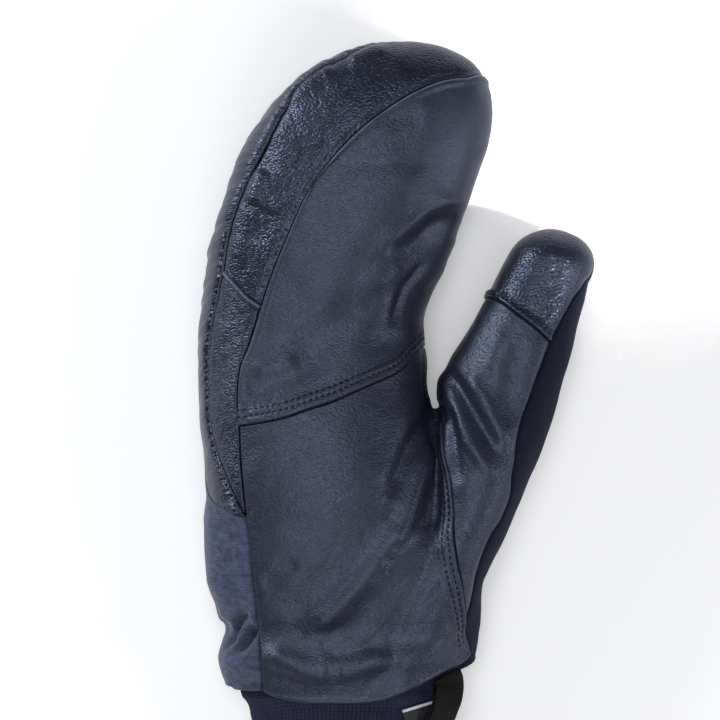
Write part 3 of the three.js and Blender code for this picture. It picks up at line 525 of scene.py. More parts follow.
def lengths_over(grid, axis):
    """Distance over the grid from its first row or column."""
    steps = np.linalg.norm(np.diff(grid, axis=axis), axis=2)
    start = np.zeros_like(np.take(steps, [0], axis=axis))
    return np.concatenate([start, np.cumsum(steps, axis=axis)], axis=axis)


def draw_in(grid, insets):
    """Moves each border in by its inset, square to itself. Below zero it moves out."""
    moved = grid.copy()
    for side, axis, edge, inner in (("foot", 0, 0, 1), ("head", 0, -1, -2),
                                    ("left", 1, 0, 1), ("right", 1, -1, -2)):
        line, beside = np.take(grid, edge, axis), np.take(grid, inner, axis)
        along = np.gradient(line, axis=0)
        along /= np.linalg.norm(along, axis=1, keepdims=True) + 1e-12
        way = beside - line
        way -= along * (way * along).sum(1, keepdims=True)
        way *= insets.get(side, 0.14) / (np.linalg.norm(way, axis=1, keepdims=True) + 1e-12)
        if axis == 0:
            moved[edge] += way
        else:
            moved[:, edge] += way
    return moved


# %% [markdown]
# No hide lies quite even, and no two wrinkles are alike. Their heights come from a noise that
# is worked out from the place alone, so that each run of the script gives the same mitten.

# %% Repeatable noise
def lattice(cell, seed):
    """A repeatable number from -1 to 1 for each whole-numbered cell."""
    mixed = (cell * (374761393, 668265263, 915488749)).sum(-1) + seed * 974711
    mixed = mixed & 0xFFFFFFFF
    mixed = ((mixed ^ (mixed >> 13)) * 1274126177) & 0xFFFFFFFF
    return ((mixed ^ (mixed >> 16)) & 0xFFFF) / 32767.5 - 1


def noise(p, size, seed):
    """Smooth noise from -1 to 1, whose hills are about as wide as the size in mm."""
    q = p / np.asarray(size, float)
    base = np.floor(q).astype(np.int64)
    t = q - base
    t = t * t * (3 - 2 * t)
    total = 0
    for corner in itertools.product((0, 1), repeat=3):
        share = np.where(np.array(corner), t, 1 - t).prod(-1)
        total = total + share * lattice(base + np.array(corner), seed)
    return total


def noise_along(place, size, seed):
    return noise(np.stack([place, np.full_like(place, 0.37), np.full_like(place, 0.61)], -1),
                 (size, 1, 1), seed)


CREASE_SHARE = 0.13  # how much of the noise about its zero line counts as crease


def turned_plan(p, degrees):
    """Plan coordinates turned, so that the first runs in the given direction."""
    a = math.radians(degrees)
    return np.stack([p[..., 0] * math.cos(a) + p[..., 1] * math.sin(a),
                     -p[..., 0] * math.sin(a) + p[..., 1] * math.cos(a), p[..., 2]], -1)


def creases(p, degrees, long, wide, seed):
    """Thin branching creases that run in one direction: 1 in a crease, 0 beside it."""
    q = turned_plan(p, degrees)
    q = q + 0.5 * wide * np.stack([noise(q, wide * 2.5, seed + 5), noise(q, wide * 2.5, seed + 6),
                                   np.zeros(q.shape[:-1])], -1)
    n = noise(q, (long, wide, long), seed) + 0.5 * noise(q, (long / 2, wide / 2, long), seed + 1)
    return np.exp(-(n / CREASE_SHARE) ** 2)


# %% [markdown]
# The folds are read off the photograph. Each is a line seen from above with a width and a
# height in millimetres, above zero for a ridge and below for a valley.

# %% Folds
PIXEL = 0.385  # mm on the palm for one pixel of the photograph
WRIST_PIXEL = (330, 690)
PICTURE = 720
FOLD_FADE = (12, 24)  # mm above the table, where the folds begin and where they are full


def plan(px, py):
    return (px - WRIST_PIXEL[0]) * PIXEL, (WRIST_PIXEL[1] - py) * PIXEL


# Places in pixels of the photograph, then width and height in mm
FOLDS = (
    # The fingertips
    ((372, 112), (398, 120), (425, 118), 5, -0.7),
    ((275, 138), (268, 160), (262, 182), 4, -0.8),
    ((263, 168), (259, 186), (252, 206), 3.5, 1.3),
    ((270, 208), (262, 226), (256, 246), 4, -0.8),
    ((240, 236), (236, 258), 3, 0.5),
    ((284, 106), (308, 84), (336, 65), 3.5, 1.8),
    ((346, 64), (368, 55), (392, 50), 3.0, 1.2),
    # Above the cross seam
    ((470, 193), (430, 214), (376, 251), 3.5, 1.3),
    ((458, 212), (425, 236), (392, 262), 5, -2),
    ((455, 240), (436, 290), (424, 330), 7, -1.7),
    ((400, 262), (375, 282), (350, 312), 5, 1.1),
    ((384, 284), (345, 318), (284, 360), 7, -1.8),
    ((432, 262), (405, 290), (391, 331), 2.2, -1),
    ((332, 353), (290, 374), (252, 392), 5, -1.3),
    ((254, 375), (278, 368), (301, 362), 3.5, 0.8),
    ((447, 198), (426, 250), (413, 300), (405, 335), 8, -2.2),
    # The heel of the palm
    ((434, 400), (423, 430), (414, 447), (404, 470), (390, 500), 4.2, -2.7),
    ((430, 440), (423, 465), (415, 492), (403, 526), (380, 556), 4.4, 2.8),
    ((392, 540), (366, 578), (334, 610), (301, 636), 4.6, 2.3),
    ((350, 560), (318, 590), (284, 616), 7, -0.7),
    ((372, 606), (346, 630), (316, 648), 5, -0.8),
    ((300, 560), (280, 575), (262, 586), 3, -0.6),
    ((262, 652), (288, 662), (312, 672), (340, 675), 4, 2.1),
    ((330, 676), (362, 666), (395, 655), 4, 1.8),
    ((385, 640), (350, 652), (322, 656), 3, -1.1),
    ((392, 668), (430, 648), (462, 624), 4.5, 1.4),
    ((440, 560), (420, 600), (408, 640), 3.5, 0.8),
    ((436, 520), (446, 570), (452, 640), 13, 2.5),
    # From the crotch over the thumb's root
    ((437, 400), (440, 412), (443, 424), 1.6, -1.5),
    ((442, 360), (450, 376), (462, 396), (476, 416), (490, 440), (500, 458), 3.2, -2.4),
    ((466, 370), (475, 388), (486, 408), (498, 430), (510, 452), 3.4, 1.2),
    ((444, 384), (452, 401), (460, 420), (469, 442), (481, 461), (496, 476), 2.6, 1.5),
    ((446, 400), (452, 416), (455, 436), (457, 458), (458, 486), 2.4, -1.2),
    ((446, 418), (448, 436), (448, 455), (449, 474), 1.3, 0.9),
    ((500, 330), (492, 352), (488, 372), 3, 0.5),
    ((524, 340), (512, 368), (508, 396), (512, 430), 4.5, -1.0),
    ((510, 334), (498, 358), (494, 386), 4.0, 0.7),
    # The gathers at the wrist, and the cloth that stands out above them
    ((204, 498), (206, 545), (210, 588), (215, 606), 6, 1.7),
    ((247, 614), (236, 626), (231, 636), (228, 648), 1.5, -5.0),
    ((258, 628), (249, 636), (243, 645), (239, 653), 1.5, -5.0),
    ((236, 634), (240, 640), (243, 648), 1.0, 0.8),
    ((232, 656), (234, 672), 3.6, 1.2),
    ((246, 656), (250, 674), 3.6, 1.2),
    ((224, 622), (224, 640), 2.4, -1.2),
    ((221, 612), (219, 630), 2.0, 0.6),
)


def fold_relief(p):
    """Height of the folds at each point. They fade down the sides of the hand."""
    total = np.zeros(p.shape[:-1])
    for *places, width, height in FOLDS:
        ends = [np.array(plan(*place)) for place in places]
        best = np.full(p.shape[:-1], 1e9)
        where = np.zeros(p.shape[:-1])
        spans = [np.linalg.norm(b - a) for a, b in zip(ends, ends[1:])]
        done = 0.0
        for a, b, span in zip(ends, ends[1:], spans):
            share = np.clip(((p[..., :2] - a) @ (b - a)) / span**2, 0, 1)
            away = np.linalg.norm(p[..., :2] - a - share[..., None] * (b - a), axis=-1)
            where = np.where(away < best, (done + share * span) / sum(spans), where)
            best = np.minimum(best, away)
            done += span
        taper = np.clip(6 * where * (1 - where), 0.1, 1)
        total += height * taper * np.exp(-(best / width) ** 2)
    return total * smooth_step(p[..., 2], *FOLD_FADE)


# %% [markdown]
# Sewn edges differ. A turned seam sinks into a groove. A lapped edge lies on its neighbour,
# with stitches beside it, and a hem is folded under. Each kind is a row of sizes.

# %% Edge kinds
# Radius of the rounded edge, lift of the edge and its width, swelling beside it and how far
# in, puckers: height, spacing and reach, and how far the edge is drawn in. All in mm
EDGES = {
    "turned": (0.95, 0, 1, 0.35, 4.0, 0.12, 3.0, 3.5, 0.04),
    "rolled": (1.7, 0.8, 2.8, 0.2, 4.0, 0.07, 3.0, 3.0, -0.05),
    "sunk": (0.7, -0.45, 2.4, 0.35, 4.0, 0.12, 3.0, 3.5, -0.03),
    "puckered": (1.8, 0, 1, 0.7, 4.0, 0.32, 2.4, 5.0, 0.14),
    "over": (0.85, 0.7, 5.8, 0, 1, 0.08, 2.6, 4.0, 0),
    "over edge": (1.2, 0.75, 1.8, 0, 1, 0.05, 2.6, 3.0, -0.1),
    "over thick": (0.9, 1.0, 2.8, 0, 1, 0.05, 2.4, 3.0, 0),
    "under": (0.2, -0.75, 1.2, 0, 1, 0.06, 3.0, 3.0, -0.9),
    "hem": (1.3, 0.3, 1.8, 0, 1, 0.04, 6.0, 3.0, 0),
    "soft": (1.6, 0, 1, 0.3, 4.0, 0.2, 2.6, 3.0, 0.12),
}


def edge_relief(kind, away, place, seed):
    radius, lift, lift_width, swell, swell_at, pucker, spacing, reach, _ = EDGES[kind]
    relief = np.sqrt(np.maximum(radius**2 - np.maximum(radius - away, 0) ** 2, 0)) - radius
    relief += lift * (1 - smooth_step(away, lift_width * 0.7, lift_width * 1.4))
    relief += swell * (away / swell_at) * np.exp(1 - away / swell_at)
    wave = noise_along(place + 0.35 * away, spacing, seed)
    wave = wave + 0.6 * noise_along(place - 0.2 * away, spacing * 0.55, seed + 3)
    return relief + pucker * wave * np.exp(-away / reach)


# %% [markdown]
# Cloth and leather are flat before they are sewn, so each piece starts as a flat grid whose
# points are then laid in place. Distances over the piece become its texture coordinates, as
# the grain and the weave go along with the leather or the cloth.

# %% From a grid to a piece
UV_PER_MM = 0.01


def to_frame(points):
    return (np.asarray(points) - (0, REST_PLACE, 0)) * MM


def clear_selection():
    for obj in bpy.context.selected_objects:
        obj.select_set(False)


def grid_object(name, places, lengths=None):
    """A plane primitive with as many squares as the places, laid on them."""
    rows, across = places.shape[0] - 1, places.shape[1] - 1
    clear_selection()
    bpy.ops.mesh.primitive_grid_add(x_subdivisions=across, y_subdivisions=rows, size=1,
                                    calc_uvs=True)
    obj = bpy.context.object
    obj.name = obj.data.name = name
    obj.data.vertices.foreach_set("co", to_frame(places).astype(np.float32).ravel())
    if lengths is not None:
        corners = np.empty(len(obj.data.loops), np.int32)
        obj.data.loops.foreach_get("vertex_index", corners)
        flat = np.stack(lengths, -1).reshape(-1, 2)[corners] * UV_PER_MM
        obj.data.uv_layers[0].data.foreach_set("uv", flat.astype(np.float32).ravel())
    obj.data.update()
    return obj


def finish_piece(obj, material, node, smooth_angle=50):
    """Applies the modifiers, smooths the shading, gives the material, hangs the piece under the
    root and hides the packed solid it replaces.
    """
    clear_selection()
    obj.select_set(True)
    bpy.context.view_layer.objects.active = obj
    for modifier in list(obj.modifiers):
        bpy.ops.object.modifier_apply(modifier=modifier.name)
    bpy.ops.object.shade_smooth_by_angle(angle=math.radians(smooth_angle))
    obj.data.materials.clear()
    obj.data.materials.append(material)
    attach(obj, "root")
    if node:
        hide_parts(node)
    print(obj.name, "triangles:", sum(len(f.vertices) - 2 for f in obj.data.polygons))


def add_wall(obj, thickness):
    """A wall that grows inwards from the outer side."""
    wall = obj.modifiers.new("wall", "SOLIDIFY")
    wall.thickness, wall.offset = thickness * MM, -1
    return wall


def close_grid(threshold):
    """Merges the borders of the last grid, where it comes round to itself."""
    bpy.ops.object.mode_set(mode="EDIT")
    bpy.ops.mesh.select_all(action="SELECT")
    bpy.ops.mesh.remove_doubles(threshold=threshold)
    bpy.ops.mesh.normals_make_consistent(inside=False)
    bpy.ops.object.mode_set(mode="OBJECT")


# %% [markdown]
# One function makes every panel: its grid, its relief, the troughs that its stitches lie in,
# and then the wall, by a Solidify modifier that grows inwards as leather and lining do. The
# lines of stitches need the finished surface, so it is kept for them.

# %% One sewn panel
WALL = 2.4
LINING_SLIP = 0.8  # how far a point of the lining may be from its place, mm
TROUGH_WIDTH = 0.75
FLOOR_GAP = 0.02
PADDING = ((24, 0.7, 7), (10, 0.2, 8))  # size and height of its bumps, and their seed
# A painted highlight, a pale line that stands in for the glint of light on a rolled edge, lies this
# far in and is this wide
HIGHLIGHT_AT = 0.55  # mm in from a rolled edge
HIGHLIGHT_WIDTH = 0.4
SURFACES = {}


def lay_lining(obj, places):
    """Puts back the points of the inner side that a sharp bend in a seam threw outwards."""
    count = len(obj.data.vertices)
    flat = np.empty(count * 3, np.float32)
    obj.data.vertices.foreach_get("co", flat)
    points, inner = flat.reshape(-1, 3), to_frame(places).reshape(-1, 3)
    lining = points[len(inner):2 * len(inner)]
    astray = np.linalg.norm(lining - inner, axis=1) > LINING_SLIP * MM
    lining[astray] = inner[astray]
    obj.data.vertices.foreach_set("co", points.ravel())
    obj.data.update()
    print(obj.name, "points of the lining put back:", int(astray.sum()))


def sewn_panel(name, left, right, foot, head, edges, material, fine=(10, 10), guides=(),
               relief=None, troughs=(), cut=0.0, seed=0, painted_highlight_edges=()):
    """fine is the squares for each step of the seams, across and along. The last argument
    names borders whose rolled edge gets a painted highlight, a pale line that stands in for the
    glint of light on it, and how far up the hand that highlight starts and is full."""
    sides = [runs(left, fine[1]), runs(right, fine[1])]
    if cut:
        sides = [side[round(cut * fine[1]):] for side in sides]
    if isinstance(foot, str):
        foot = runs(foot, fine[0])
    else:
        foot = between(sides[0][0], sides[1][0], round(foot * fine[0]))
    head = runs(head, fine[0])
    middle = []
    for k, points in enumerate(guides):
        i = round((len(foot) - 1) * (k + 1) / (len(guides) + 1))
        rows = [foot[i], *points, head[i]]
        middle.append(stretch(rows, 0, len(rows) - 1, len(sides[0]) - 1))
    grid = panel_grid([sides[0], *middle, sides[1]], foot, head, fine)
    grid = draw_in(grid, {side: EDGES[kind][-1] for side, kind in edges.items()})
    over, along = lengths_over(grid, 1), lengths_over(grid, 0)
    border = {"left": (over, along[:, :1] + 0 * over),
              "right": (over[:, -1:] - over, along[:, -1:] + 0 * over),
              "foot": (along, over[:1] + 0 * over),
              "head": (along[-1:] - along, over[-1:] + 0 * over)}
    height = fold_relief(grid)
    for size, rise, key in PADDING:
        height = height + rise * noise(grid, size, key)
    near = np.minimum.reduce([border[side][0] for side in edges])
    height += relief(grid, border) * smooth_step(near, 0, 4)
    for k, (side, kind) in enumerate(sorted(edges.items())):
        height += edge_relief(kind, *border[side], seed * 17 + k)
    for side, inset, depth, spacing in troughs:
        away, place = border[side]
        holes = 0.6 + 0.4 * np.cos(2 * math.pi * place / spacing)
        height -= depth * holes * np.exp(-((away - inset) / TROUGH_WIDTH) ** 2)
    normal = unit(slope_of(hand_form, grid))
    places = grid + normal * height[..., None]
    places[..., 2] = np.maximum(places[..., 2], FLOOR_GAP)
    SURFACES[name] = (places, border, normal)
    obj = grid_object(name, places, (over, along))
    # The painted highlight: a pale band along the named rolled edges. It fades towards the wrist,
    # where less light glints on them, and goes to the leather as a point attribute
    painted_highlight = np.zeros(grid.shape[:2])
    for side, start, full in painted_highlight_edges:
        away, place = border[side]
        highlight_band = np.exp(-((away - HIGHLIGHT_AT) / HIGHLIGHT_WIDTH) ** 2)
        highlight_band *= 0.75 + 0.25 * noise_along(place, 5, seed)
        painted_highlight += highlight_band * smooth_step(grid[..., 1], start, full)
    obj.data.attributes.new("painted_highlight", "FLOAT", "POINT").data.foreach_set(
        "value", painted_highlight.astype(np.float32).ravel())
    add_wall(obj, WALL).use_quality_normals = True
    finish_piece(obj, material, name.replace("mitten_", ""))
    lay_lining(obj, places - normal * WALL)


# %% [markdown]
# Every finish below is a small net of nodes with its sizes in millimetres. A helper adds the
# nodes, because a net built by name reads more easily than one built socket by socket.

# %% Nodes for the finishes
def shade(hex_code):
    """An sRGB hex code as a linear colour."""
    values = [int(hex_code[i:i + 2], 16) / 255 for i in (0, 2, 4)]
    linear = [v / 12.92 if v <= 0.04045 else ((v + 0.055) / 1.055) ** 2.4 for v in values]
    return (*linear, 1.0)


def per_mm(size):
    """The scale that makes a texture's cell this many mm wide."""
    return 1 / (size * MM)


class Finish:
    """A material in the making. Each method adds a node and gives the socket it ends in."""

    def __init__(self, name):
        self.material = bpy.data.materials.new(name)
        self.material.use_nodes = True
        self.tree = self.material.node_tree
        self.place = self.add("TexCoord", "Object")

    def feed(self, target, value):
        if isinstance(value, bpy.types.NodeSocket):
            self.tree.links.new(value, target)
        else:
            target.default_value = value

    def add(self, kind, out, inputs=None, **settings):
        made = self.tree.nodes.new("ShaderNode" + kind)
        for key, value in settings.items():
            setattr(made, key, value)
        for socket, value in (inputs or {}).items():
            self.feed(made.inputs[socket], value)
        return made.outputs[out]

    def noise(self, vector, scale, detail=2.0, roughness=0.5, distortion=0.0, out="Fac"):
        return self.add("TexNoise", out, {"Vector": vector, "Scale": scale, "Detail": detail,
                                          "Roughness": roughness, "Distortion": distortion})

    def moved(self, vector, scale, turn=0.0):
        return self.add("Mapping", 0, {"Vector": vector, "Rotation": (0, 0, turn), "Scale": scale})

    def mix(self, share, a, b, **settings):
        return self.add("Mix", "Result", {"Factor": share, "A": a, "B": b},
                        **{"data_type": "RGBA", **settings})

    def ranged(self, value, low, high, start=0.0, stop=1.0):
        return self.add("MapRange", 0, {"Value": value, "From Min": low, "From Max": high,
                                        "To Min": start, "To Max": stop})

    def calc(self, operation, *values, kind="Math"):
        return self.add(kind, 0, dict(enumerate(values)), operation=operation)

    def bump(self, height, depth, below=None):
        """A bump as deep as the given mm where its height goes from 0 to 1."""
        inputs = {"Height": height, "Distance": depth * MM}
        if below is not None:
            inputs["Normal"] = below
        return self.add("Bump", 0, inputs)

    def done(self, surface):
        """The material, once the shader's own sockets are set or fed."""
        for socket, value in surface.items():
            self.feed(self.tree.nodes["Principled BSDF"].inputs[socket], value)
        return self.material


# %% [markdown]
# Leather is a hide with a skin of its own: tiny cells with creases between them, and a satin
# gloss that breaks up on them. The creases between the cells are darkened as painted shade.
# Along some rolled edges, a pale line is painted in as a highlight.

# %% Leather
SATIN_TINT = (0.6, 0.68, 1.0, 1.0)
# The pale colour of the painted highlight on rolled edges
HIGHLIGHT_COLOUR = "6f7892"


def leather(name, dark, light, cell, grain, gloss, crease, streak, tint=SATIN_TINT):
    """Chrome-tanned hide. cell is its grain in mm, grain and crease are the depths of the
    pebbles and of the soft wrinkles, gloss is the roughness of low and high places, and
    streak is the wrinkles' angle, length, width and depth. Along the strip they follow it."""
    net = Finish(name)
    warp = net.noise(net.place, per_mm(cell * 4), 1.0, out="Color")
    warp = net.calc("MULTIPLY", warp, (cell * MM * 2,) * 3, kind="VectorMath")
    warped = net.calc("ADD", net.place, warp, kind="VectorMath")
    rows = net.moved(warped, (0.72, 1.25, 1.0), -0.4)
    cells = net.add("TexVoronoi", "Distance", {"Vector": rows, "Scale": per_mm(cell)})
    dome = net.calc("MULTIPLY", cells, cells)
    wide = net.noise(net.place, per_mm(6.0), 3.0, 0.55, 0.6)
    angle, long, across, depth = streak
    if angle is None:
        source, angle, unit = net.add("UVMap", "UV"), 0.6, UV_PER_MM
    else:
        source, unit = net.place, MM
    lined = net.moved(source, tuple(1 / (v * unit) for v in (long, across, long)), -angle)
    lines = net.noise(lined, 1.0, 2.0, distortion=0.4)
    patches = net.noise(net.place, per_mm(24.0), 3.0)
    bump = net.bump(dome, -grain, net.bump(lines, depth, net.bump(wide, crease)))
    tone = net.mix(patches, shade(dark), shade(light))
    # Painted shade: the hollows between the grain's cells are darkened by their depth, down to half
    tone = net.mix(1.0, tone, net.ranged(dome, 0.08, 0.3, 1.0, 0.5), blend_type="MULTIPLY")
    # Painted highlight: the tone goes towards the pale colour where the edge attribute is high
    painted_highlight = net.add("Attribute", "Fac", attribute_name="painted_highlight")
    return net.done({"Base Color": net.mix(painted_highlight, tone, shade(HIGHLIGHT_COLOUR)),
                     "Roughness": net.ranged(wide, 0.3, 0.7, *gloss),
                     "Normal": bump, "IOR": 1.75, "Specular Tint": tint})


# %% [markdown]
# Cloth is soft and scatters light at its fibres. Fine lines are its yarns, short hairs lie over
# them, and two dyed yarns give the softshell its flecks.

# %% Cloth
def cloth(name, dark, light, thread, direction, depth, sheen, rough, hairy=0.5, fleck=0.5):
    """Woven or knitted cloth with fine lines across one axis. thread is their spacing in mm."""
    net = Finish(name)
    lines = net.add("TexWave", "Fac", {"Vector": net.place, "Scale": 0.314 * per_mm(thread),
                                       "Distortion": 1.5, "Detail": 2, "Detail Scale": 1.5},
                    bands_direction=direction)
    hairs = net.noise(net.place, per_mm(thread * 0.8), 4.0, 0.7, 1.0)
    wide = net.noise(net.moved(net.place, (0.3, 1.0, 1.0)), per_mm(2.6), 4.0, 0.65)
    height = net.mix(hairy, lines, hairs, data_type="FLOAT")
    flecks = net.ranged(net.mix(fleck, wide, height, data_type="FLOAT"), 0.35, 0.65)
    return net.done({"Base Color": net.mix(flecks, shade(dark), shade(light)),
                     "Normal": net.bump(height, depth), "Roughness": rough,
                     "Sheen Weight": sheen, "Sheen Roughness": 0.4, "Specular IOR Level": 0.25})


# %% [markdown]
# Goatskin comes in three finishes here: smooth on the palm, embossed with small pebbles at the
# fingertip and on the thumb, and dull where it wraps the side. The cloths are a heathered
# softshell, a brushed fabric and a knit. The dyes are all close to navy.

# %% The finishes
PALM_LEATHER = leather("smooth_goatskin", "171a26", "232738", 0.9, 0.13, (0.43, 0.50), 0.05,
                       (0.6, 2.6, 0.6, 0.05))
PEBBLED = leather("pebbled_goatskin", "0a0c17", "10131f", 1.0, 0.22, (0.33, 0.38), 0.03,
                  (0.5, 3.0, 1.2, 0.06), (0.56, 0.65, 1.0, 1.0))
SIDE_LEATHER = leather("side_goatskin", "0a0c16", "12151f", 0.9, 0.18, (0.36, 0.42), 0.08,
                       (-1.2, 3.5, 0.8, 0.2))
STRIP_LEATHER = leather("strip_goatskin", "10131d", "181b28", 0.9, 0.12, (0.32, 0.4), 0.10,
                        (None, 6.0, 1.0, 0.42))
SOFTSHELL = cloth("softshell_twill", "23283b", "505975", 0.8, "Y", 0.2, 0.2, 0.75, 0.7, 0.4)
BRUSHED = cloth("brushed_fleece_cloth", "05081a", "181e36", 0.7, "X", 0.4, 0.03, 0.95, 1.0, 0.8)
KNIT = cloth("rib_knit", "0a0b1c", "34385a", 0.55, "Y", 0.3, 0.1, 0.9, 0.4, 0.7)
WEBBING = cloth("woven_webbing", "050506", "0f0f11", 0.7, "Y", 0.25, 0.0, 0.75, 0.3, 0.6)
THREAD = cloth("bonded_thread", "030409", "0b0d15", 0.3, "X", 0.05, 0.0, 0.6, 0.5, 0.5)
print("materials with the packed solids' own:", len(bpy.data.materials))

# %% [markdown]
# The palm is two panels of smooth goatskin. The upper one laps over the lower at the cross
# seam, and two rows of stitches hold it down.

# %% Palm
def leather_life(grid, seed, dents=0.32, wrinkles=0.10):
    """The unevenness that all the leather has: soft dents, then finer wrinkles."""
    height = dents * noise(grid, 14, seed) + 0.4 * dents * noise(grid, 7, seed + 1)
    height += wrinkles * noise(turned_plan(grid, 30), (9, 3.5, 9), seed + 2)
    return height


def lower_palm_relief(grid, border):
    height = leather_life(grid, 11)
    low = 1 - smooth_step(grid[..., 1], 70, 110)
    height -= 0.14 * low * creases(grid, 40, 26, 4.5, 31)
    height -= 0.06 * creases(grid, 15, 14, 3.0, 41)
    return height


def upper_palm_relief(grid, border):
    height = leather_life(grid, 51)
    height -= 0.05 * creases(grid, 40, 22, 4.5, 61)
    return height


sewn_panel(
    "mitten_palm_lower", "palm edge, wrist; palm edge, wedge", "wrist; thumb; index, palm",
    "palm hem", "cross", {"left": "turned", "right": "over", "foot": "hem", "head": "under"},
    PALM_LEATHER, (11, 9), relief=lower_palm_relief,
    troughs=(("right", 2.2, 0.6, 2.6), ("right", 4.5, 0.6, 2.6)), seed=1)
sewn_panel(
    "mitten_palm_upper", "palm edge, side; palm edge, tip", "index, fingers",
    "cross", "palm edge, top",
    {"left": "rolled", "right": "turned", "foot": "over", "head": "rolled"},
    PALM_LEATHER, (11, 13), relief=upper_palm_relief,
    troughs=(("foot", 3.2, 0.5, 2.5), ("foot", 5.8, 0.5, 2.5)), seed=2,
    # A painted highlight along the rolled left and top edges. It starts 150 mm up the hand and is
    # full by 215 mm
    painted_highlight_edges=(("left", 150, 215), ("head", 150, 215)))

# %% [markdown]
# A pebbled panel goes over the fingertips, and a dull wedge fills the side below it. A narrow
# strip, gathered tight, binds the edge from the wedge to the tip.

# %% Fingertips, side and strip
def fingertip_relief(grid, border):
    return leather_life(grid, 71, 0.4, 0.08)


def side_relief(grid, border):
    return leather_life(grid, 81, 0.15, 0.12) - 0.2 * creases(grid, 70, 12, 2.6, 91)


def strip_relief(grid, border):
    """Short wrinkles run across the strip, because it is gathered along its length."""
    away, place = border["right"]
    across = np.stack([place, away * 0.35, grid[..., 2] * 0.1], -1)
    height = 0.55 * noise(across, (3.6, 9, 9), 101) + 0.3 * noise(across, (1.9, 6, 9), 102)
    return height * smooth_step(grid[..., 1], 95, 150)


sewn_panel(
    "mitten_fingertip_panel", "strip, tip", "palm edge, tip; palm edge, top",
    "side top", "-tip end",
    {"left": "puckered", "right": "sunk", "foot": "under", "head": "turned"},
    PEBBLED, (14, 12), relief=fingertip_relief, seed=3)
sewn_panel(
    "mitten_side_panel", "strip, wedge", "palm edge, wedge; palm edge, side", 4, "side top",
    {"left": "turned", "right": "turned", "head": "over edge"},
    SIDE_LEATHER, (8, 9), relief=side_relief, cut=0.35, seed=4,
    # A painted highlight along the top edge
    painted_highlight_edges=(("head", 0, 1),))
sewn_panel(
    "mitten_edge_strip", "strip bend; strip rest", "strip, wedge; strip, tip",
    "strip wrist end", "-strip end",
    {"left": "soft", "right": "puckered", "foot": "over", "head": "turned"},
    STRIP_LEATHER, (18, 13), relief=strip_relief,
    troughs=(("right", 1.6, 0.4, 2.4),), seed=5)

# %% [markdown]
# The back is softshell cloth. An elastic gathers it at the wrist, on the little-finger side.

# %% Back
GATHER_AT = 23.0  # mm above the wrist seam


def back_relief(grid, border):
    height = 0.12 * noise(grid, 9, 112)
    side_share = smooth_step(-grid[..., 0], 20, 32)
    near = np.exp(-((grid[..., 1] - GATHER_AT) / 7) ** 2)
    turn = np.arctan2(grid[..., 2] - 23, grid[..., 0]) * 34
    pleats = noise(np.stack([turn, grid[..., 1] * 0.12, turn * 0], -1), (3.4, 3, 1), 113)
    height += side_share * near * (1.3 * pleats - 0.8)
    return height


sewn_panel(
    "mitten_back_panel",
    "divider; index, palm; index, fingers; tip end; strip end",
    "palm edge, wrist; -strip wrist end; strip bend; strip back",
    "back hem", "-strip over tip",
    {"left": "soft", "right": "soft", "foot": "hem", "head": "soft"},
    SOFTSHELL, (7, 5), guides=[on_body(rows) for rows in BACK_GUIDES],
    relief=back_relief, seed=6)

# %% [markdown]
# The thumb has a leather front, a pebbled cap that laps over it with a stitched hem, and a
# back of brushed cloth that runs down to the wrist.

# %% Thumb
def thumb_relief(grid, border):
    height = leather_life(grid, 121, 0.4, 0.1)
    return height - 0.10 * creases(grid, -60, 16, 3.0, 131)


def cap_relief(grid, border):
    return leather_life(grid, 141, 0.4, 0.06)


def nap_relief(grid, border):
    return 0.25 * noise(grid, 14, 151) + 0.12 * noise(grid, 5, 152)


sewn_panel(
    "mitten_thumb_front", "thumb; inner thumb", "outer thumb", 10, "cap hem",
    {"left": "under", "right": "turned", "head": "under"},
    PALM_LEATHER, (7, 13), relief=thumb_relief, cut=0.3, seed=7)
sewn_panel(
    "mitten_thumb_tip", "inner cap", "outer cap", "cap hem", "thumb top",
    {"left": "turned", "right": "turned", "foot": "over thick", "head": "turned"},
    PEBBLED, (8, 9), relief=cap_relief,
    troughs=(("foot", 2.2, 0.6, 2.5),), seed=8)
sewn_panel(
    "mitten_thumb_back", "wrist; outer thumb; outer cap", "divider; inner thumb; inner cap",
    "thumb hem", "-thumb top",
    {"left": "soft", "right": "soft", "foot": "hem", "head": "soft"},
    BRUSHED, (7, 7), guides=[on_thumb(rows) for rows in THUMB_GUIDES],
    relief=nap_relief, seed=9)

# %% [markdown]
# The cuff is a knitted tube with narrow ribs. It starts inside the wrist and ends in an open
# mouth. One grid goes down its outside and up its inside, and its ends are merged.

# %% Cuff
CUFF_TUCK = 12.0
CUFF_WALL = 3.0
KNIT_RIBS = 150
RIB_COLUMNS = 6
RIB_HEIGHT = 0.85
RIB_SHARPNESS = 1.4
MOUTH_ROUNDING = 0.6


def cuff_points(turn, y, depth):
    """Points of the cuff at these turns about its middle and heights, by halving the way out."""
    across, level, wide, deep = oval_at(CUFF_SECTIONS, y / CUFF_LENGTH)
    middle = np.stack([across, y, level], -1)
    way = unit(np.stack([wide * np.cos(turn), 0 * turn, deep * np.sin(turn)], -1))
    near, far = np.zeros(turn.shape), np.full(turn.shape, PALM_WIDTH)
    for _ in range(16):
        half = (near + far) / 2
        inside = cuff_form(middle + way * half[..., None]) < 0
        near, far = np.where(inside, half, near), np.where(inside, far, half)
    return middle + way * (near - depth)[..., None]


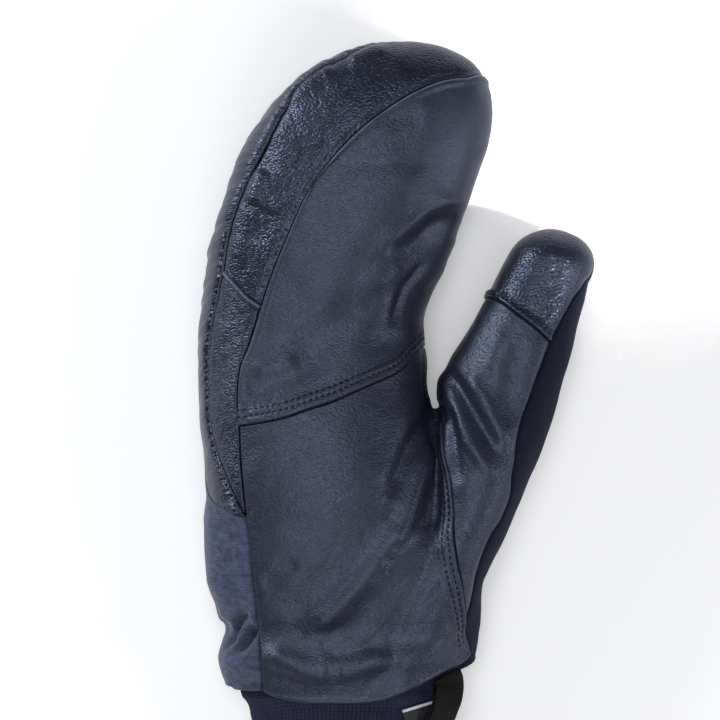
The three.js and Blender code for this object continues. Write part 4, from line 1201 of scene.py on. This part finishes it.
def cuff_grid():
    columns = KNIT_RIBS * RIB_COLUMNS
    down = np.linspace(CUFF_TUCK, MOUTH_ROUNDING - CUFF_LENGTH, 34)
    up = np.linspace(MOUTH_ROUNDING - CUFF_LENGTH, CUFF_TUCK, 9)
    y = np.concatenate([down, [-CUFF_LENGTH, -CUFF_LENGTH], up, [CUFF_TUCK]])
    depth = np.concatenate([0 * down, [0.8, CUFF_WALL - 0.8], 0 * up + CUFF_WALL, [0]])
    ribbed = np.concatenate([0 * down + 1, [0.6, 0.2], 0 * up, [1]])
    turn = np.linspace(0, 2 * math.pi, columns + 1)
    turn_grid, y_grid = np.meshgrid(turn, y)
    groove = RIB_HEIGHT * (0.5 - 0.5 * np.cos(KNIT_RIBS * turn_grid)) ** RIB_SHARPNESS
    ring = np.stack([np.cos(turn_grid) * 30, y_grid, np.sin(turn_grid) * 30], -1)
    sag = 0.3 * noise(ring, 12, 161)
    return cuff_points(turn_grid, y_grid, depth[:, None] + groove * ribbed[:, None]
                       + (0.3 + sag) * (depth[:, None] < 1))


cuff = grid_object("mitten_cuff", cuff_grid()[::-1])
close_grid(0.00002)
finish_piece(cuff, KNIT, "cuff", 180)

# %% [markdown]
# A loop of woven webbing hangs from the palm's hem, and helps to pull the mitten on. The
# strap's section is carried round a flat ring, which is then laid along the cuff.

# %% Pull loop
LOOP_WIDTH = 12.0
LOOP_LENGTH = 34.0
LOOP_THICKNESS = 1.1
LOOP_OPENING = 0.8
LOOP_TILT = math.radians(35)
LOOP_HEM_ROW = 7
LOOP_DROP = 0.42  # of its start below the hem
LOOP_ROUTE = (
    (0, 0, 2.4), (.012, -.13, 2.1), (0, -.31, 2.2), (-.032, -.55, 2.4), (-.07, -.76, 2.4),
    (-.095, -.94, 2.4),
)
loop_start = settle(hand_form, palm_hem[LOOP_HEM_ROW], True)
route = np.array([
    settle(cuff_form, loop_start + (x * PALM_WIDTH, y * LOOP_LENGTH - LOOP_DROP, 0), True,
           lift * LOOP_THICKNESS)
    for x, y, lift in LOOP_ROUTE])
fine_route = smooth_curve(route, np.linspace(0, len(route) - 1, 200))
route_reach = reach_of(fine_route)


def route_at(mm):
    """Place on the loop's route, and the ways beside it and up from it."""
    goal = np.asarray(mm) / LOOP_LENGTH * route_reach[-1]
    slopes = np.gradient(fine_route, route_reach, axis=0)
    along = unit(read_along(route_reach, slopes, goal))
    beside = np.array([-math.cos(LOOP_TILT), 0, math.sin(LOOP_TILT)])
    beside = unit(beside - along * (along @ beside)[..., None])
    return read_along(route_reach, fine_route, goal), beside, np.cross(beside, along)


def loop_grid():
    """A strap bent into a flat ring: around the strap's section, and round the ring."""
    radius = (LOOP_THICKNESS + LOOP_OPENING) / 2
    straight = LOOP_LENGTH - LOOP_THICKNESS - 2 * radius
    bend = np.linspace(-math.pi / 2, math.pi / 2, 13)
    level = np.linspace(0, straight, 70)
    a = np.concatenate([level, straight + radius * np.cos(bend[1:-1]), level[::-1],
                        -radius * np.cos(bend[1:-1]), level[:1]])
    h = np.concatenate([0 * level, radius + radius * np.sin(bend[1:-1]), 0 * level + 2 * radius,
                        radius - radius * np.sin(bend[1:-1]), [0]])
    a, h = a + LOOP_THICKNESS / 2 + radius, h + LOOP_THICKNESS / 2
    ring = np.stack([a, h], -1)
    way = np.gradient(ring, axis=0)
    way[0] = way[-1] = (1, 0)
    way = unit(way)
    out = np.stack([way[:, 1], -way[:, 0]], -1)
    corner = np.linspace(0, 2 * math.pi, 41)
    wide = np.sign(np.cos(corner)) * np.abs(np.cos(corner)) ** 0.25 * LOOP_WIDTH / 2
    thick = np.sign(np.sin(corner)) * np.abs(np.sin(corner)) ** 0.7 * LOOP_THICKNESS / 2
    thick = thick * (1 + 0.12 * (np.abs(wide) > LOOP_WIDTH * 0.42))
    at = ring[:, None] + out[:, None] * thick[None, :, None]
    point, beside, up = route_at(np.clip(at[..., 0], 0, LOOP_LENGTH))
    return point + up * at[..., 1:] + beside * wide[None, :, None]


loop = grid_object("mitten_pull_loop", loop_grid())
close_grid(0.00001)
finish_piece(loop, WEBBING, "pull_loop", 60)

# %% [markdown]
# A small label is sewn on beside the loop. It is a flat patch of black satin laid on the ribs,
# with a pale border woven in along its upper and lower edges.

# %% Label
LABEL_WIDTH = 13.0
LABEL_LENGTH = 12.0
LABEL_TURN = math.radians(16)
LABEL_CORNER = (0.301 * PALM_WIDTH, -0.158 * CUFF_LENGTH)
LABEL_THICKNESS = 0.8
LABEL_CLEARANCE = 0.42


def label_grid():
    right, up = np.meshgrid(np.linspace(0, LABEL_WIDTH, 53), np.linspace(0, LABEL_LENGTH, 49))
    down = LABEL_LENGTH - up
    p = np.stack([
        LABEL_CORNER[0] + right * math.cos(LABEL_TURN) + down * math.sin(LABEL_TURN),
        LABEL_CORNER[1] + right * math.sin(LABEL_TURN) - down * math.cos(LABEL_TURN),
        np.full(right.shape, 0.7 * PALM_DEPTH)], -1)
    inward = np.minimum.reduce([right, LABEL_WIDTH - right, up, LABEL_LENGTH - up])
    bulge = 0.12 * np.exp(-((inward - 1.1) / 0.6) ** 2) - 0.25 * np.exp(-(inward / 0.35) ** 2)
    p = settle(cuff_form, p, True, LABEL_CLEARANCE + LABEL_THICKNESS)
    return p + np.stack([0 * bulge, 0 * bulge, bulge], -1), (right, up)


def label_material():
    """Damask label: black satin, with pale lines woven in beside two of its edges."""
    net = Finish("damask_label")
    flat = net.add("UVMap", "UV")
    half = LABEL_LENGTH * UV_PER_MM / 2
    off = net.calc("ABSOLUTE", net.calc("SUBTRACT", net.add("SeparateXYZ", "Y", {0: flat}), half))
    distance = net.calc("SUBTRACT", half, off)
    border = net.calc("MULTIPLY", net.ranged(distance, 1.55 * UV_PER_MM, 1.35 * UV_PER_MM),
                      net.ranged(distance, 0.3 * UV_PER_MM, 0.5 * UV_PER_MM))
    threads = net.add("TexWave", "Fac", {"Vector": flat, "Scale": 14.0}, bands_direction="Y")
    return net.done({"Base Color": net.mix(border, shade("17171c"), shade("c9ccd6")),
                     "Normal": net.bump(threads, 0.05), "Roughness": 0.6})


label = grid_object("mitten_label", *label_grid())
add_wall(label, LABEL_THICKNESS)
finish_piece(label, label_material(), "label", 60)

# %% [markdown]
# Stitches are short threads that lie in the troughs made for them. One is modelled, and its
# copies follow the panel's finished surface at a set distance from the seam.

# %% Stitches
def one_stitch():
    """A thread with blunt ends, one millimetre long, as corners and faces. They are sorted,
    because the order that a sphere is made in differs from run to run."""
    clear_selection()
    bpy.ops.mesh.primitive_uv_sphere_add(segments=8, ring_count=6, radius=0.5,
                                         rotation=(0, math.pi / 2, 0))
    obj = bpy.context.object
    bpy.ops.object.transform_apply(location=False, rotation=True, scale=False)
    corners = np.array([v.co[:] for v in obj.data.vertices])
    order = np.lexsort(corners.round(4).T)
    rank = np.argsort(order).tolist()
    faces = []
    for polygon in obj.data.polygons:
        ring = [rank[i] for i in polygon.vertices]
        first = ring.index(min(ring))
        faces.append(tuple(ring[first:] + ring[:first]))
    bpy.data.objects.remove(obj)
    return corners[order], sorted(faces)


STITCH = one_stitch()


def line_inside(panel, side, inset):
    """A line on the panel's surface at this distance from one side, and the slope there."""
    places, border, normal = SURFACES[panel]
    away = border[side][0]
    if side in ("foot", "head"):
        places, normal, away = (np.swapaxes(v, 0, 1) for v in (places, normal, away))
    if side in ("right", "head"):
        places, normal, away = places[:, ::-1], normal[:, ::-1], away[:, ::-1]
    line, out = [], []
    for row, way, reach in zip(places, normal, away):
        if reach[-1] < inset * 2.1:
            continue
        line.append(read_along(reach, row, inset))
        out.append(read_along(reach, way, inset))
    return np.array(line), np.array(out)


def stitch_row(line, out, spacing, length, radius, start=1.0, stop=1.0, lift=0.05):
    """Corners and faces of the stitches along one line, all sizes in mm."""
    reach = reach_of(line)
    corners, faces = [], []
    for centre in np.arange(start + spacing / 2, reach[-1] - stop, spacing):
        before, middle, after = read_along(reach, line, centre + np.array([-0.6, 0, 0.6]))
        along = unit(after - before)
        up = read_along(reach, out, centre)
        up = unit(up - along * (up @ along))
        shape = STITCH[0] * (length, 2 * radius, 2 * radius)
        faces += [tuple(i + len(corners) * len(shape) for i in f) for f in STITCH[1]]
        corners.append(middle + up * lift + shape @ np.array([along, np.cross(up, along), up]))
    return np.concatenate(corners), faces


def stitches(name, rows):
    """One piece from some rows of stitches."""
    corners, faces, count = [], [], 0
    for points, parts in rows:
        faces += [tuple(i + count for i in part) for part in parts]
        corners.append(points)
        count += len(points)
    mesh = bpy.data.meshes.new(name)
    mesh.from_pydata(to_frame(np.concatenate(corners)).tolist(), [], faces)
    obj = bpy.data.objects.new(name, mesh)
    bpy.context.scene.collection.objects.link(obj)
    finish_piece(obj, THREAD, None, 60)


stitches("stitches_cross_seam", [
    stitch_row(*line_inside("mitten_palm_upper", "foot", inset), 2.5, 1.7, 0.3)
    for inset in (3.2, 5.8)])
stitches("stitches_thumb_seam", [
    stitch_row(*line_inside("mitten_palm_lower", "right", inset), 2.6, 1.8, 0.33, 8, 27)
    for inset in (2.2, 4.5)])
stitches("stitches_thumb_cap", [
    stitch_row(*line_inside("mitten_thumb_tip", "foot", 2.2), 2.5, 1.5, 0.32)])
stitches("stitches_strip", [
    stitch_row(*line_inside("mitten_edge_strip", "right", 1.6), 4.7, 2.2, 0.3, 3, 150)])

# %% [markdown]
# The photograph looks straight down on the palm in plain soft light, with a broad window of
# light from the upper left. The floor is pale and plain.

# %% Floor and light
PAPER = shade("f7f7f8")


def floor():
    """Pale paper that glows a little, as a lit studio table does."""
    clear_selection()
    bpy.ops.mesh.primitive_plane_add(size=6.0, location=(0, 0, 0))
    obj = bpy.context.object
    obj.name = "floor"
    obj.data.materials.append(Finish("floor_paper").done({
        "Base Color": PAPER, "Roughness": 0.95, "Emission Color": PAPER,
        "Emission Strength": 0.25}))


def area_light(name, place, size, power, target=(0, 0, 0.03), colour=(1, 1, 1)):
    light = bpy.data.lights.new(name, "AREA")
    light.shape, light.size, light.size_y = "RECTANGLE", size[0], size[1]
    light.energy, light.color = power, colour
    obj = bpy.data.objects.new(name, light)
    bpy.context.scene.collection.objects.link(obj)
    obj.location = place
    way = np.array(target) - np.array(place)
    obj.rotation_euler = (math.acos(-way[2] / np.linalg.norm(way)), 0,
                          math.atan2(way[1], way[0]) - math.pi / 2)
    return obj


# Places and sizes in metres, power in watts
floor()
area_light("overhead", (-0.14, 0.17, 2.1), (0.8, 0.8), 13)
area_light("window", (-1.3, 0.9, 0.62), (0.4, 0.4), 17, colour=(0.94, 0.97, 1.0))
area_light("lamp", (1.1, -0.35, 0.74), (0.3, 0.3), 4)
thumb_light = area_light("thumb_light", (0.83, -0.24, 1.06), (0.06, 0.06), 0.05,
                         (0.118, 0.098, 0.04))
thumb_light.data.spread = math.radians(5)
area_light("foot_light", (-0.1, -0.85, 1.15), (0.8, 0.22), 4, colour=(0.96, 0.98, 1.0))
world = bpy.data.worlds.new("studio")
bpy.context.scene.world = world
world.use_nodes = True
sky = world.node_tree.nodes["Background"].inputs
sky["Color"].default_value, sky["Strength"].default_value = (0.93, 0.96, 1.0, 1), 0.16
print("lights:", len(bpy.data.lights))

# %% [markdown]
# The camera looks straight down from above, as the photograph does, and its picture is as wide
# at the palm as the photograph shows.

# %% Camera
FRAME_WIDTH = PICTURE * PIXEL  # mm across the picture at the palm
CAMERA_HEIGHT = 1500.0
PALM_LEVEL = 45.0
SENSOR = 36.0
camera = bpy.data.cameras.new("camera")
camera.sensor_width = SENSOR
camera.lens = SENSOR * (CAMERA_HEIGHT - PALM_LEVEL) / FRAME_WIDTH
camera.clip_end = 20.0
view = bpy.data.objects.new("camera", camera)
view.location = to_frame((*plan(PICTURE / 2, PICTURE / 2), CAMERA_HEIGHT))
bpy.context.scene.collection.objects.link(view)
bpy.context.scene.camera = view
bpy.context.scene.view_settings.view_transform = "Standard"
print("camera lens, mm:", round(camera.lens, 1))
